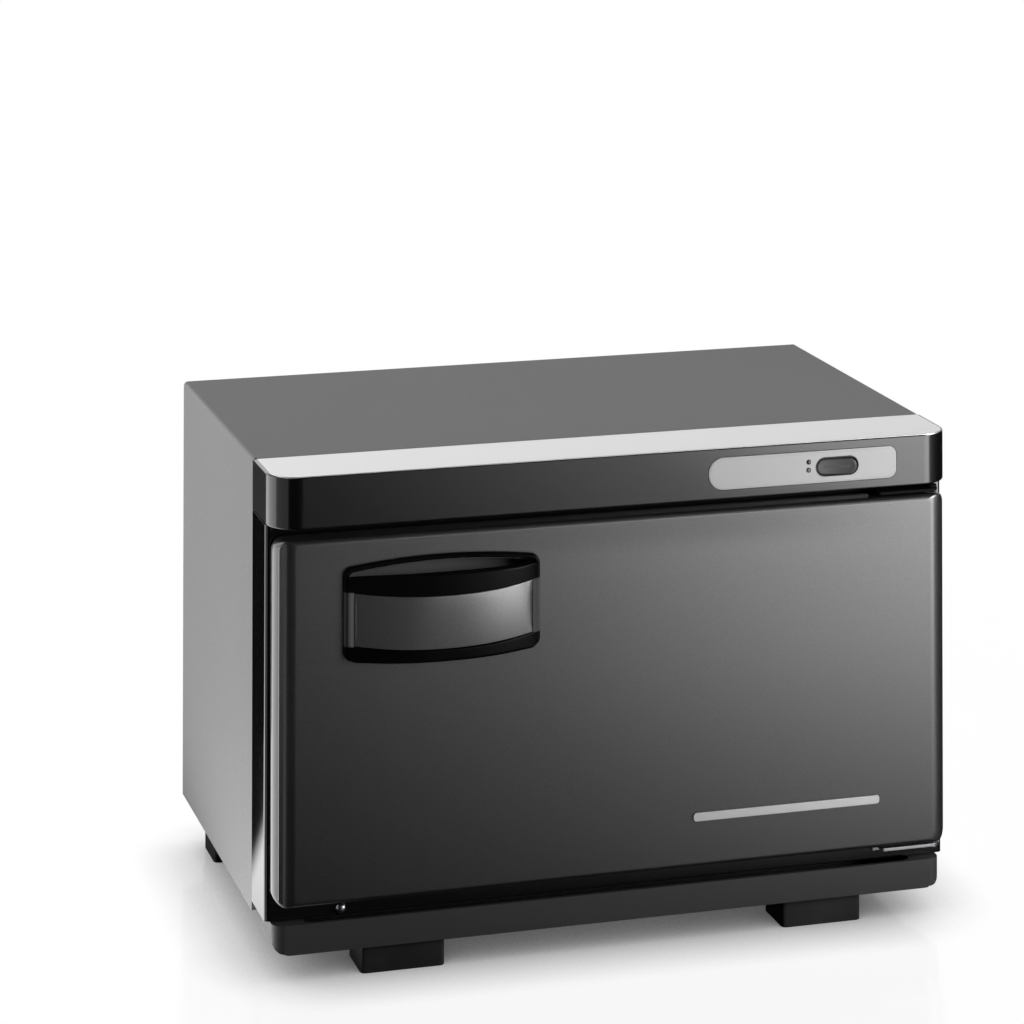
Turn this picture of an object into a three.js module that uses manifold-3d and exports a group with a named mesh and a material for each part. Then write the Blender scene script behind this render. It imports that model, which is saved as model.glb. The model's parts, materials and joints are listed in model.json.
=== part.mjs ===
// Hot towel cabinet, bench-top, 18 litre class. Millimetres, +Z up, +Y to the rear, +X to the right.
// Origin: centre of the bounding box's underside, on the table. The door is closed.
import * as THREE from "three";
import { mergeVertices } from "three/addons/utils/BufferGeometryUtils.js";
import Module from "manifold-3d";

const wasm = await Module();
wasm.setup();

// ---- Driving dimensions ----------------------------------------------------
const WIDTH = 450;
const HALF_WIDTH = WIDTH / 2;
const HEIGHT = 313; // feet included
const SIDES = [-1, 1]; // left, right
const SHEET = 1; // steel sheet
const WALL = 2.5; // plastic wall

const SHELL_FRONT = -91;
const SHELL_REAR = 137;
const SHELL_BOTTOM = 31.5;
const SHELL_RADIUS = 3;
const LAP_FRONT = -94.4; // front edge of the steel top, lapped onto the head
const LAP_THICKNESS = 0.95;

const FRONT = -148; // front plane of the head and the door
const HEAD_BOTTOM = 280.5;
const HEAD_RADIUS = 20; // its upright front edges
const FRAME_FRONT = -129;
const FRAME_BOTTOM = 37.5;
const PLASTIC_REAR = SHELL_FRONT - 0.3; // rear edge of the frame and the head

const CHAMBER_HALF = 186;
const CHAMBER_BOTTOM = 64;
const CHAMBER_TOP = 262;
const CHAMBER_REAR = 112;

const DOOR_HALF = 222.3;
const DOOR_BOTTOM = 50.6;
const DOOR_TOP = 274;
const DOOR_BACK = -132;
const DOOR_RADIUS = 13; // its upright front edges
const PIVOT_X = 213.5; // door hinge line
const PIVOT_Y = -140;
const CATCH_X = -204; // centre of the magnetic catch
const CATCH_Z = 163;

const TRAY_HALF = 221;
const TRAY_FRONT = -137;
const TRAY_BOTTOM = 18.3;
const TRAY_TOP = 36.5;
const TONGUE_X = 150; // centres of the tray's tongues and their slots, left and right
const FOOT_HEIGHT = 17.7;

const HANDLE_X = -117; // centre of the pull
const BULGE = 14.7; // how far the pull stands off the door

// ---- Solids and meshes -----------------------------------------------------
function solid(geometry) {
  const bare = new THREE.BufferGeometry()
    .setAttribute("position", geometry.getAttribute("position"))
    .setIndex(geometry.index);
  const merged = mergeVertices(bare, 1e-4);
  const mesh = new wasm.Mesh({
    numProp: 3,
    vertProperties: new Float32Array(merged.attributes.position.array),
    triVerts: new Uint32Array(merged.index.array),
  });
  return new wasm.Manifold(mesh);
}

function toGeometry(manifold) {
  const { vertProperties, triVerts } = manifold.getMesh();
  const geometry = new THREE.BufferGeometry()
    .setAttribute("position", new THREE.BufferAttribute(new Float32Array(vertProperties), 3))
    .setIndex(new THREE.BufferAttribute(new Uint32Array(triVerts), 1));
  geometry.computeVertexNormals();
  return geometry;
}

const cut = (body, ...tools) => tools.reduce((result, tool) => result.subtract(tool), body);
const join = (body, ...others) => others.reduce((result, other) => result.add(other), body);

// ---- Outlines --------------------------------------------------------------
const point = (x, y) => new THREE.Vector2(x, y);

// Range reaching `half` to either side of a centre.
const span = (half, centre = 0) => [centre - half, centre + half];

// Polygon from counter-clockwise corners [x, y, radius]; radius 0 is sharp.
function rounded(corners, segments) {
  return corners.flatMap(([x, y, radius], i) => {
    const corner = point(x, y);
    if (!radius) return [corner];
    const toward = ([nextX, nextY]) => point(nextX - x, nextY - y).normalize();
    const before = toward(corners.at(i - 1));
    const after = toward(corners[(i + 1) % corners.length]);
    const halfAngle = before.angleTo(after) / 2;
    const toCentre = before.clone().add(after).normalize();
    const centre = toCentre.multiplyScalar(radius / Math.sin(halfAngle)).add(corner);
    const tangentLength = radius / Math.tan(halfAngle);
    const angleAt = (edge) => {
      const spoke = edge.clone().multiplyScalar(tangentLength).add(corner).sub(centre);
      return Math.atan2(spoke.y, spoke.x);
    };
    const start = angleAt(before);
    let sweep = angleAt(after) - start;
    sweep -= 2 * Math.PI * Math.round(sweep / (2 * Math.PI)); // the short way round
    return Array.from({ length: segments + 1 }, (_, k) => {
      const angle = start + (sweep * k) / segments;
      return point(centre.x + radius * Math.cos(angle), centre.y + radius * Math.sin(angle));
    });
  });
}

// Rectangle with one radius, or [radius at the low-y edge, radius at the high-y edge].
function rect([x0, x1], [y0, y1], radii, segments) {
  const [low, high = low] = [radii].flat();
  return rounded([[x0, y0, low], [x1, y0, low], [x1, y1, high], [x0, y1, high]], segments);
}

// ---- Primitives ------------------------------------------------------------
// Box from its x, y and z ranges; the ends of a range may come in either order.
function box(...ranges) {
  const geometry = new THREE.BoxGeometry(...ranges.map(([a, b]) => Math.abs(b - a)));
  geometry.translate(...ranges.map(([a, b]) => (a + b) / 2));
  return solid(geometry);
}

function extrude(outline, depth) {
  const settings = { depth, bevelEnabled: false, steps: 1 };
  return new THREE.ExtrudeGeometry(new THREE.Shape(outline), settings);
}

// Outline in the XY plane, swept along Z.
function prismZ(outline, [z0, z1]) {
  const geometry = extrude(outline, z1 - z0);
  geometry.translate(0, 0, z0);
  return solid(geometry);
}

// Outline in the XZ plane, swept along Y.
function prismY(outline, [y0, y1]) {
  const geometry = extrude(outline, y1 - y0);
  geometry.rotateX(Math.PI / 2);
  geometry.translate(0, y1, 0);
  return solid(geometry);
}

function cylinder(axis, radius, length, centre, segments) {
  const geometry = new THREE.CylinderGeometry(radius, radius, length, segments);
  if (axis === "z") geometry.rotateX(Math.PI / 2);
  if (axis === "x") geometry.rotateZ(Math.PI / 2);
  geometry.translate(...centre);
  return solid(geometry);
}

// Geometry turned about Y from a profile of [radius, y].
const turned = (profile, segments) =>
  new THREE.LatheGeometry(profile.map(([radius, y]) => point(radius, y)), segments);

// Turned solid with its profile running forward from a base point.
function turnedForward(profile, segments, base) {
  const geometry = turned(profile, segments);
  geometry.rotateX(Math.PI);
  geometry.translate(...base);
  return solid(geometry);
}

// Round bar along a smooth path through stations [x, y, z].
function tube(stations, radius, steps, segments) {
  const route = stations.map((station) => new THREE.Vector3(...station));
  const extrudePath = new THREE.CatmullRomCurve3(route, false, "catmullrom", 0.5);
  const ring = Array.from({ length: segments }, (_, i) => {
    const angle = (2 * Math.PI * i) / segments;
    return point(radius * Math.cos(angle), radius * Math.sin(angle));
  });
  const settings = { steps, extrudePath, bevelEnabled: false };
  return solid(new THREE.ExtrudeGeometry(new THREE.Shape(ring), settings));
}

// ---- Materials -------------------------------------------------------------
const standard = (settings) => new THREE.MeshStandardMaterial(settings);
const finish = {
  steelGrey: standard({ color: 0x8c8c8c, roughness: 0.35, metalness: 0.4 }),
  glossBlack: standard({ color: 0x0c0c0d, roughness: 0.08 }),
  doorGloss: standard({ color: 0x2a2a2b, roughness: 0.1 }),
  smokedInsert: standard({ color: 0x3a3a3c, roughness: 0.15, metalness: 0.5 }),
  silverTrim: standard({ color: 0xd6d6d6, roughness: 0.3, metalness: 0.8 }),
  silverPlate: standard({ color: 0xb9b9b9, roughness: 0.4, metalness: 0.5 }),
  buttonGrey: standard({ color: 0x333334, roughness: 0.35 }),
  lampDark: standard({ color: 0x2c2c2c, roughness: 0.15 }),
  lampGrey: standard({ color: 0x707070, roughness: 0.15 }),
  blackSteel: standard({ color: 0x161616, roughness: 0.5, metalness: 0.3 }),
  zinc: standard({ color: 0xc2c2c2, roughness: 0.3, metalness: 0.9 }),
  aluminium: standard({ color: 0xc9cacc, roughness: 0.35, metalness: 0.9 }),
  stainless: standard({ color: 0xd0d0d2, roughness: 0.2, metalness: 1 }),
  linerWhite: standard({ color: 0xd9d9d6, roughness: 0.45 }),
  wool: standard({ color: 0xe6dfb8, roughness: 1 }),
  foam: standard({ color: 0xe8e6dc, roughness: 0.9 }),
  rubber: standard({ color: 0x0a0a0a, roughness: 0.7 }),
  silicone: standard({ color: 0x3d3d3d, roughness: 0.6 }),
  boardGreen: standard({ color: 0x1f4a30, roughness: 0.5 }),
  phenolic: standard({ color: 0x20201f, roughness: 0.5 }),
  cordBlack: standard({ color: 0x101010, roughness: 0.6 }),
  magnetCase: standard({ color: 0x1a1a1a, roughness: 0.5 }),
};

const cabinet = new THREE.Group();
const door = new THREE.Group();
cabinet.add(door);

function addGeometry(name, geometry, material, parent) {
  const mesh = new THREE.Mesh(geometry, material);
  mesh.name = name;
  parent.add(mesh);
}
const add = (name, manifold, material, parent = cabinet) =>
  addGeometry(name, toGeometry(manifold), material, parent);

// ---- Steel wrap, rear panel and base pan -----------------------------------
const CORD_X = 170; // where the mains lead passes the rear panel
const CORD_Z = 48;

function outerShell() {
  const outer = rect(span(HALF_WIDTH), [SHELL_BOTTOM, HEIGHT], [0, SHELL_RADIUS], 3);
  const inner = rect(span(HALF_WIDTH - SHEET), [SHELL_BOTTOM - 5, HEIGHT - SHEET],
    [0, SHELL_RADIUS - SHEET], 3);
  const lipY = [SHELL_FRONT, SHELL_FRONT + SHEET];
  let shell = cut(
    prismY(outer, [SHELL_FRONT, SHELL_REAR]),
    prismY(inner, [SHELL_FRONT - 2, SHELL_REAR + 2]),
  );
  // turned-in lips: front edges, then lower edges
  for (const side of SIDES) {
    const lipX = (width) => [side * (HALF_WIDTH - 0.5), side * (HALF_WIDTH - width)];
    shell = join(
      shell,
      box(lipX(9), lipY, [SHELL_BOTTOM, HEIGHT - 2]),
      box(lipX(13), [SHELL_FRONT, SHELL_REAR - 4], [SHELL_BOTTOM, SHELL_BOTTOM + SHEET]),
    );
  }
  return join(
    shell,
    box(span(HALF_WIDTH - 1), lipY, [HEIGHT - 9, HEIGHT - 0.5]),
    // the top laps forward onto the head
    box(span(HALF_WIDTH - 4), [LAP_FRONT, SHELL_FRONT + 0.4], [HEIGHT - LAP_THICKNESS, HEIGHT]),
  );
}

function rearPanel() {
  const top = 311.6;
  const slotPitch = 9;
  const through = [130, 140];
  const slot = (x, z) => prismY(rect(span(45, x), [z, z + 4], 1.9, 2), through);
  let panel = join(
    prismY(rect(span(223.6), [32.9, top], [0, SHELL_RADIUS], 3), [134.6, 134.6 + SHEET]),
    box(span(219), [128, 135], [top - SHEET, top]),
  );
  for (let row = 0; row < 7; row++) {
    const z = 268 - row * slotPitch;
    panel = cut(panel, slot(-120, z), slot(120, z));
  }
  for (let row = 0; row < 4; row++) panel = cut(panel, slot(-115, 50 + row * slotPitch));
  return cut(panel, cylinder("y", 7.3, 10, [CORD_X, 135, CORD_Z], 20));
}

function basePan() {
  const half = 211;
  const front = -90; // front wall; the floor runs further forward
  const rear = 134;
  const bottom = 18;
  const top = 31.2;
  const wallZ = [bottom + 0.5, top];
  let pan = box(span(half), [-131, rear], [bottom, bottom + SHEET]);
  for (const side of SIDES) {
    pan = join(
      pan,
      box([side * half, side * (half - SHEET)], [front, rear], wallZ),
      box([side * 218.5, side * (half - 0.5)], [front, rear], [top - SHEET, top]),
    );
  }
  pan = join(
    pan,
    box(span(half - 0.5), [rear - SHEET, rear], wallZ),
    box(span(half - 0.5), [front, front + SHEET], wallZ),
  );
  // slots for the drip tray's tongues
  const slots = SIDES.map((side) =>
    box(span(11, side * TONGUE_X), [front - 2, front + 3], [19.2, 24.5]));
  return cut(pan, ...slots);
}

add("outer_shell", outerShell(), finish.steelGrey);
add("rear_panel", rearPanel(), finish.steelGrey);
add("base_pan", basePan(), finish.blackSteel);

// ---- Door frame and control head -------------------------------------------
const SCREW_X = -177;
const SCREW_Z = 41.8;
const LAMP_X = 125.7;
const HEAT_LAMP_Z = 300.3;
const POWER_LAMP_Z = 295.2;
const ROCKER_X = 145.3; // cross pin of the rocker
const ROCKER_Y = FRONT + 6;
const ROCKER_Z = 296.5;

// Box on the chamber's cross-section, grown all round by a margin.
const chamberBox = (margin, rangeY) =>
  box(span(CHAMBER_HALF + margin), rangeY, [CHAMBER_BOTTOM - margin, CHAMBER_TOP + margin]);

const loomHole = (rangeZ) => box([200, 212], [-115, -99], rangeZ);

const rockerWindow = (clearance) => rect(span(14.7 + clearance, ROCKER_X),
  span(6.2 + clearance, ROCKER_Z), 6.1 + clearance, 5);

const lampHoles = (radius) => [HEAT_LAMP_Z, POWER_LAMP_Z].map((z) =>
  cylinder("y", radius, 10, [LAMP_X, FRONT, z], 10));

// Outline of the printed control plate; its left corners are rounder than its right.
function plateOutline(clearance, left, right, segments) {
  const [x0, x1] = [58 - clearance, 186 + clearance];
  const [z0, z1] = [286.5 - clearance, 307 + clearance];
  return rounded([[x0, z0, left], [x1, z0, right], [x1, z1, right], [x0, z1, left]], segments);
}

// Plan of the silver strip on the head's top.
const trimPlan = (clearance, rear) => rect(span(HALF_WIDTH - 2.3 + clearance),
  [FRONT + 0.6 - clearance, rear], [16 + clearance, 0], 8);

function frontFrame() {
  const top = HEAD_BOTTOM - 0.3;
  const plan = rect(span(HALF_WIDTH), [FRAME_FRONT, PLASTIC_REAR], [3, 0], 3);
  // hollow ring between the outer walls and the walls of the opening, open to the rear
  const hollow = cut(
    box(span(HALF_WIDTH - WALL), [FRAME_FRONT + WALL, -80], [FRAME_BOTTOM + WALL, top - WALL]),
    chamberBox(WALL, [-140, -70]),
  );
  return cut(
    prismZ(plan, [FRAME_BOTTOM, top]),
    chamberBox(0, [-140, -80]),
    hollow,
    loomHole([270, 285]),
    cylinder("y", 2.2, 12, [SCREW_X, FRAME_FRONT, SCREW_Z], 12),
    box(span(7, CATCH_X), [-131, -116], span(11, CATCH_Z)), // seat of the magnetic catch
  );
}

function controlHead() {
  const plan = rect(span(HALF_WIDTH), [FRONT, PLASTIC_REAR], [HEAD_RADIUS, 0], 8);
  const hollow = rect(span(HALF_WIDTH - WALL), [FRONT + WALL, -80], [HEAD_RADIUS - WALL, 0], 6);
  const trimSeatZ = [HEIGHT - 1, HEIGHT + 1];
  return cut(
    prismZ(plan, [HEAD_BOTTOM, HEIGHT - 0.3]),
    prismZ(hollow, [HEAD_BOTTOM + WALL, HEIGHT - 1 - WALL]),
    prismY(plateOutline(0.3, 10.4, 6, 5), [FRONT - 2, FRONT + 0.8]),
    prismY(rockerWindow(0.3), [FRONT - 2, FRONT + 6]),
    ...lampHoles(1.7),
    loomHole([275, 290]),
    // seat of the silver strip, open behind where the steel top laps over
    prismZ(trimPlan(0.15, LAP_FRONT), trimSeatZ),
    box(span(HALF_WIDTH + 1), [LAP_FRONT - 0.1, -80], trimSeatZ),
  );
}

function controlPlate() {
  return cut(
    prismY(plateOutline(0, 10, 5.7, 6), [FRONT - 0.3, FRONT + 0.5]),
    prismY(rockerWindow(0), [FRONT - 2, FRONT + 2]),
    ...lampHoles(1.65),
  );
}

// Stadium cap on a cross pin, tilted so that its left end is in.
function rockerButton() {
  const half = 14;
  const halfHeight = 5.7;
  const plan = rounded([[-half, -8, 2], [half, -8, 2], [12.5, 3, 0], [-12.5, 3, 0]], 3);
  const face = rect(span(half), span(halfHeight), 5.6, 6);
  const cap = cut(
    prismZ(plan, span(halfHeight)).intersect(prismY(face, [-12, 6])),
    box(span(9), [-5, 6], span(3.2)),
    cylinder("z", 1.5, 20, [0, 0, 0], 12),
  );
  const geometry = toGeometry(cap);
  geometry.rotateZ(THREE.MathUtils.degToRad(-6));
  geometry.translate(ROCKER_X, ROCKER_Y, ROCKER_Z);
  return geometry;
}

// Cup around the rocker with its own cross pin and three blades behind.
function switchBody() {
  const cup = cut(
    box(span(16.3, ROCKER_X), [FRONT + WALL + 0.3, FRONT + 26], span(7.5, ROCKER_Z)),
    box(span(14.7, ROCKER_X), [FRONT, FRONT + 14], span(6.3, ROCKER_Z)),
  );
  const pin = cylinder("z", 1.1, 14, [ROCKER_X, ROCKER_Y, ROCKER_Z], 10);
  const blades = [-9, 0, 9].map((offset) =>
    box(span(2.4, ROCKER_X + offset), [FRONT + 25, FRONT + 33], span(0.5, ROCKER_Z)));
  return join(cup, pin, ...blades);
}

function lamp(z) {
  const profile = [[0, 0], [1.35, 0], [1.35, 8.5], [0.95, 9.1], [0, 9.35]]; // [radius, length]
  return turnedForward(profile, 12, [LAMP_X, FRONT + 8.5, z]);
}

function indicatorBoard() {
  return cut(
    box([104, 127.6], [FRONT + 9, FRONT + 10.6], [288, 306]),
    cylinder("y", 1.2, 8, [110, FRONT + 9, 297], 10),
  );
}

add("front_frame", frontFrame(), finish.glossBlack);
add("control_head", controlHead(), finish.glossBlack);
const headTrim = prismZ(trimPlan(0, LAP_FRONT - 0.2), [HEIGHT - LAP_THICKNESS, HEIGHT]);
add("head_trim", headTrim, finish.silverTrim);
add("control_plate", controlPlate(), finish.silverPlate);
addGeometry("rocker_button", rockerButton(), finish.buttonGrey, cabinet);
add("switch_body", switchBody(), finish.phenolic);
add("lamp_heat", lamp(HEAT_LAMP_Z), finish.lampDark);
add("lamp_power", lamp(POWER_LAMP_Z), finish.lampGrey);
add("indicator_board", indicatorBoard(), finish.boardGreen);

// ---- Heated chamber --------------------------------------------------------
const RAIL_Z = 158;
const RAIL_THICKNESS = 1.2;

function chamberWrap() {
  return cut(
    chamberBox(SHEET, [-90.7, CHAMBER_REAR]),
    chamberBox(0, [-95, CHAMBER_REAR + 5]),
  );
}

// Angle on the chamber's side wall.
function rackRail(side) {
  const rangeX = (width) => [side * (CHAMBER_HALF - 0.3), side * (CHAMBER_HALF - width)];
  const rangeY = [-82, 108];
  return join(
    box(rangeX(1.5), rangeY, [RAIL_Z, RAIL_Z + 14]),
    box(rangeX(10), rangeY, [RAIL_Z, RAIL_Z + RAIL_THICKNESS]),
  );
}

function wireRack() {
  const rimRadius = 2;
  const barRadius = 1.3;
  const barPitch = 22.6;
  const centreY = 10;
  const halfDepth = 88;
  const z = RAIL_Z + RAIL_THICKNESS + 0.3 + rimRadius;
  const rim = SIDES.flatMap((side) => [
    cylinder("y", rimRadius, 2 * halfDepth, [side * 181, centreY, z], 8),
    cylinder("x", rimRadius, 364, [0, centreY + side * halfDepth, z], 8),
  ]);
  const bars = [];
  for (let i = -7; i <= 7; i++) {
    bars.push(cylinder("y", barRadius, 177, [i * barPitch, centreY, z + 1.2], 6));
  }
  const crossBar = cylinder("x", barRadius, 363, [0, centreY, z - 0.8], 6);
  return join(...rim, ...bars, crossBar);
}

add("chamber_wrap", chamberWrap(), finish.aluminium);
const chamberBack = chamberBox(SHEET, [CHAMBER_REAR + 0.3, CHAMBER_REAR + 0.3 + SHEET]);
add("chamber_back", chamberBack, finish.aluminium);
add("rack_rail_left", rackRail(-1), finish.aluminium);
add("rack_rail_right", rackRail(1), finish.aluminium);
add("wire_rack", wireRack(), finish.stainless);

// ---- Heat, control and insulation ------------------------------------------
const CONTROL_X = 168; // thermostat and thermal cutout

// Path of the element under the heater plate: [x, y, z]
const ELEMENT_PATH = [
  [-120, 96, 56.5], [-120, -45, 56.5], [-85, -60, 56.5], [-50, -45, 56.5], [-50, 60, 56.5],
  [-15, 76, 56.5], [20, 60, 56.5], [20, -45, 56.5], [55, -60, 56.5], [90, -45, 56.5],
  [90, 60, 56.5], [120, 76, 56.5], [138, 60, 56.5], [138, -50, 56.5],
];

// Path of the loom from the terminal block up the right side to the switch: [x, y, z]
const LOOM_PATH = [
  [171, 91, 26], [196, 70, 26], [204, 0, 26], [204, -62, 28], [204.5, -80, 42], [206, -100, 60],
  [206, -107, 120], [206, -107, 200], [206, -107, 276], [200, -108, 291], [180, -106, 297],
  [158, -108, 296.5],
];

// Blocks of wool: x, y and z ranges
const INSULATION = {
  insulation_top: [[-184, 184], [-84, 110], [265, 299]],
  insulation_left: [[-222, -189], [-86, 110], [66, 296]],
  insulation_right: [[189, 222], [-86, 110], [66, 296]],
  insulation_back: [[-184, 184], [115, 132.5], [66, 260]],
  insulation_floor: [[-198, 198], [-84, 104], [34, 49]],
};

// Two-step round body with a top strap and two bent terminals.
function thermostat() {
  const y = 20;
  let body = join(
    cylinder("z", 8, 4.8, [CONTROL_X, y, 60.2], 16),
    cylinder("z", 5.5, 4, [CONTROL_X, y, 56.4], 12),
    box(span(13, CONTROL_X), span(3.5, y), [61.9, 62.6]),
  );
  for (const side of SIDES) {
    const tabX = (inner) => [CONTROL_X + side * inner, CONTROL_X + side * 6.4];
    body = join(
      body,
      box(tabX(5.6), span(3, y), [50, 58]),
      box(tabX(4), span(3, y), [56.5, 58]),
    );
  }
  return body;
}

function thermalCutout() {
  const centre = [CONTROL_X, -30, 59.4];
  return join(cylinder("y", 3, 30, centre, 10), cylinder("y", 0.8, 46, centre, 6));
}

function terminalBlock() {
  const studs = [159, 171, 183].map((x) => cylinder("z", 3.6, 3, [x, 103, 30.6], 12));
  return join(box([152, 190], [95, 111], [19.6, 29.5]), ...studs);
}

add("heater_plate", box(span(150), [-70, 95], [61, 62.6]), finish.aluminium);
add("heating_element", tube(ELEMENT_PATH, 3.2, 84, 8), finish.stainless);
add("thermostat", thermostat(), finish.phenolic);
add("thermal_cutout", thermalCutout(), finish.zinc);
for (const [name, ranges] of Object.entries(INSULATION)) add(name, box(...ranges), finish.wool);
add("terminal_block", terminalBlock(), finish.phenolic);
add("wiring_loom", tube(LOOM_PATH, 2.6, 66, 6), finish.cordBlack);

// ---- Mains lead ------------------------------------------------------------
const CORD_RADIUS = 3.4;
const PLUG_Y = 151;
const PLUG_Z = 18;
const PIN_PITCH = 9.5;

// Path of the lead from the terminal block to the plug: [x, y, z]
const CORD_PATH = [
  [170, 117, 26], [170, 121, 38], [170, 128, 47.5], [170, 138, 48], [170, 150, 47.4],
  [169.5, 158, 39], [168, 159.2, 18], [158, 158.6, 5.5], [140, 157, 3.7], [90, 154, 3.7],
  [48, 152, 4.6], [37, 151.5, 12], [26.8, 151, 18],
];

// Side of the plug: [x, z, corner radius]
const PLUG_SIDE = [
  [-20, 0.6, 2], [6, 0.6, 4], [17, 9, 6], [17, 27, 6], [6, 35.4, 4], [-20, 35.4, 2],
];

function cordBush() {
  const collar = (radius, length, y, segments) =>
    cylinder("y", radius, length, [CORD_X, y, CORD_Z], segments);
  return cut(
    join(
      collar(6.9, 8, 136, 18),
      collar(9.5, 2.6, 137.3, 18),
      collar(5.6, 8, 143, 14),
      collar(8.4, 2.4, 132.6, 18),
    ),
    collar(CORD_RADIUS + 0.45, 40, 140, 12),
  );
}

const pinZ = (step) => PLUG_Z + step * PIN_PITCH;

// Flat three-pin plug standing on its narrow side.
function mainsPlug() {
  const body = join(
    prismY(PLUG_OUTLINE(), span(6.8, PLUG_Y)),
    cylinder("x", 5, 8, [20, PLUG_Y, PLUG_Z], 14),
  );
  const sockets = [-1, 0, 1].map((step) =>
    cylinder("x", 2.4, 12, [-20, PLUG_Y, pinZ(step)], 12));
  return cut(body, ...sockets);
}

function PLUG_OUTLINE() {
  return rounded(PLUG_SIDE, 3);
}

// Pin pointing left out of the plug.
function plugPin(z) {
  const profile = [[0, 0], [2, 0], [2, 22.5], [1.2, 24], [0, 24]]; // [radius, length]
  const geometry = turned(profile, 12);
  geometry.rotateZ(Math.PI / 2);
  geometry.translate(-14.5, PLUG_Y, z);
  return solid(geometry);
}

add("cord_bush", cordBush(), finish.rubber);
add("power_cord", tube(CORD_PATH, CORD_RADIUS, 70, 10), finish.cordBlack);
add("mains_plug", mainsPlug(), finish.rubber);
add("plug_pin_live", plugPin(pinZ(-1)), finish.zinc);
add("plug_pin_earth", plugPin(pinZ(0)), finish.zinc);
add("plug_pin_neutral", plugPin(pinZ(1)), finish.zinc);

// ---- Feet ------------------------------------------------------------------
// Block with a stepped screw hole, from its left front corner.
function foot(left, front) {
  const [width, depth] = [54, 34];
  const [x, y] = [left + width / 2, front + depth / 2];
  return cut(
    prismZ(rect([left, left + width], [front, front + depth], 3, 2), [0, FOOT_HEIGHT]),
    cylinder("z", 5, 12, [x, y, 0], 12),
    cylinder("z", 2.2, 30, [x, y, 10], 10),
  );
}

add("foot_front_left", foot(-164, -130.5), finish.rubber);
add("foot_front_right", foot(114, -130.5), finish.rubber);
add("foot_rear_left", foot(-213, 86), finish.rubber);
add("foot_rear_right", foot(159, 86), finish.rubber);

// ---- Door ------------------------------------------------------------------
// Outline around the pull: the lower edge bows down by `sag`, the upper edge up by `rise`.
function arched(half, [bottom, top], [sag, rise], radius, segments) {
  const outline = [];
  const flat = half - radius;
  const edge = (direction, z, bow) => {
    for (let i = 0; i <= segments; i++) {
      const t = (2 * i) / segments - 1;
      const u = t * (1 - radius / half);
      outline.push(point(HANDLE_X + direction * flat * t, z + bow * (1 - u * u)));
    }
  };
  // points of a quarter circle, at 30 degree steps `first` to `last` from quarter `quarter`
  const corner = (side, z, quarter, first, last) => {
    for (let k = first; k <= last; k++) {
      const angle = (quarter * Math.PI) / 2 + (k * Math.PI) / 6;
      const x = HANDLE_X + side * flat + radius * Math.cos(angle);
      outline.push(point(x, z + radius * Math.sin(angle)));
    }
  };
  edge(1, bottom, -sag);
  corner(1, bottom + radius, -1, 1, 3);
  corner(1, top - radius, 0, 0, 2);
  edge(-1, top, rise);
  corner(-1, top - radius, 1, 1, 3);
  corner(-1, bottom + radius, 2, 0, 2);
  return outline;
}
const mouth = (half, rangeZ) => arched(half, rangeZ, [1.3, 4.4], 5, 8);
const rim = (half, rangeZ) => arched(half, rangeZ, [1.4, 4.6], 6, 8);

const onHinge = (radius, length, z, segments) =>
  cylinder("z", radius, length, [PIVOT_X, PIVOT_Y, z], segments);

function doorShell() {
  // the right rear edge is bevelled so that it clears the frame as the door swings
  const plan = rounded([
    [-DOOR_HALF, FRONT, DOOR_RADIUS], [DOOR_HALF, FRONT, DOOR_RADIUS],
    [DOOR_HALF, DOOR_BACK - 2.8, 0], [DOOR_HALF - 3.2, DOOR_BACK, 0],
    [-DOOR_HALF + 1, DOOR_BACK, 0], [-DOOR_HALF, DOOR_BACK - 1, 0],
  ], 8);
  const face = rect(span(DOOR_HALF), [DOOR_BOTTOM, DOOR_TOP], 8, 4);
  const [left, right] = [-DOOR_HALF + WALL, DOOR_HALF - 17];
  const pocket = rounded([
    [left, FRONT + WALL, DOOR_RADIUS - WALL], [right, FRONT + WALL, 2],
    [right, -120, 0], [left, -120, 0],
  ], 5);
  const block = prismZ(plan, [DOOR_BOTTOM, DOOR_TOP]);
  return cut(
    block.intersect(prismY(face, [FRONT - 5, DOOR_BACK + 5])),
    prismZ(pocket, [DOOR_BOTTOM + WALL, DOOR_TOP - WALL]),
    prismY(mouth(60.5, [201.2, 253]), [FRONT - 3, FRONT + 5]), // window behind the pull
    onHinge(4.7, 24.8, DOOR_BOTTOM, 16), // bush seats
    onHinge(4.7, 24.8, DOOR_TOP, 16),
  );
}

function hingeBush(z0, z1) {
  const z = (z0 + z1) / 2;
  return cut(onHinge(4.3, z1 - z0, z, 16), onHinge(2.35, 30, z, 16));
}

function doorLiner() {
  const sheet = 1.6;
  const flange = rect([-DOOR_HALF + 3, DOOR_HALF - 17.5], [DOOR_BOTTOM + 3, DOOR_TOP - 3], 2, 2);
  const raised = rect(span(180), [70, 256], 6, 3);
  const hollow = rect(span(180 - sheet), [70 + sheet, 256 - sheet], 5, 3);
  return cut(
    join(prismY(flange, [-134.2, -132.3]), prismY(raised, [-133, -117])),
    prismY(hollow, [-140, -117 - sheet]),
    box(span(7, CATCH_X), [-140, -120], span(12, CATCH_Z)), // seat of the catch striker
  );
}

// Block with a pocket that clears the cup of the pull.
function doorInsulation() {
  return cut(
    box(span(176), [-145, -119], [74, 252]),
    box([-186, -49], [-150, -134.3], [195, 262]),
  );
}

function doorGasket() {
  const width = 5.5;
  return cut(
    prismY(rect(span(194), [57, 269], 8, 3), [-132, -129.4]),
    prismY(rect(span(194 - width), [57 + width, 269 - width], 5, 3), [-140, -120]),
  );
}

function catchMagnet() {
  return join(
    box(span(6.6, CATCH_X), [-128.9, -116.4], span(10.6, CATCH_Z)),
    box(span(6.6, CATCH_X), [-129.6, -128.5], span(5, CATCH_Z)),
  );
}

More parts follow.
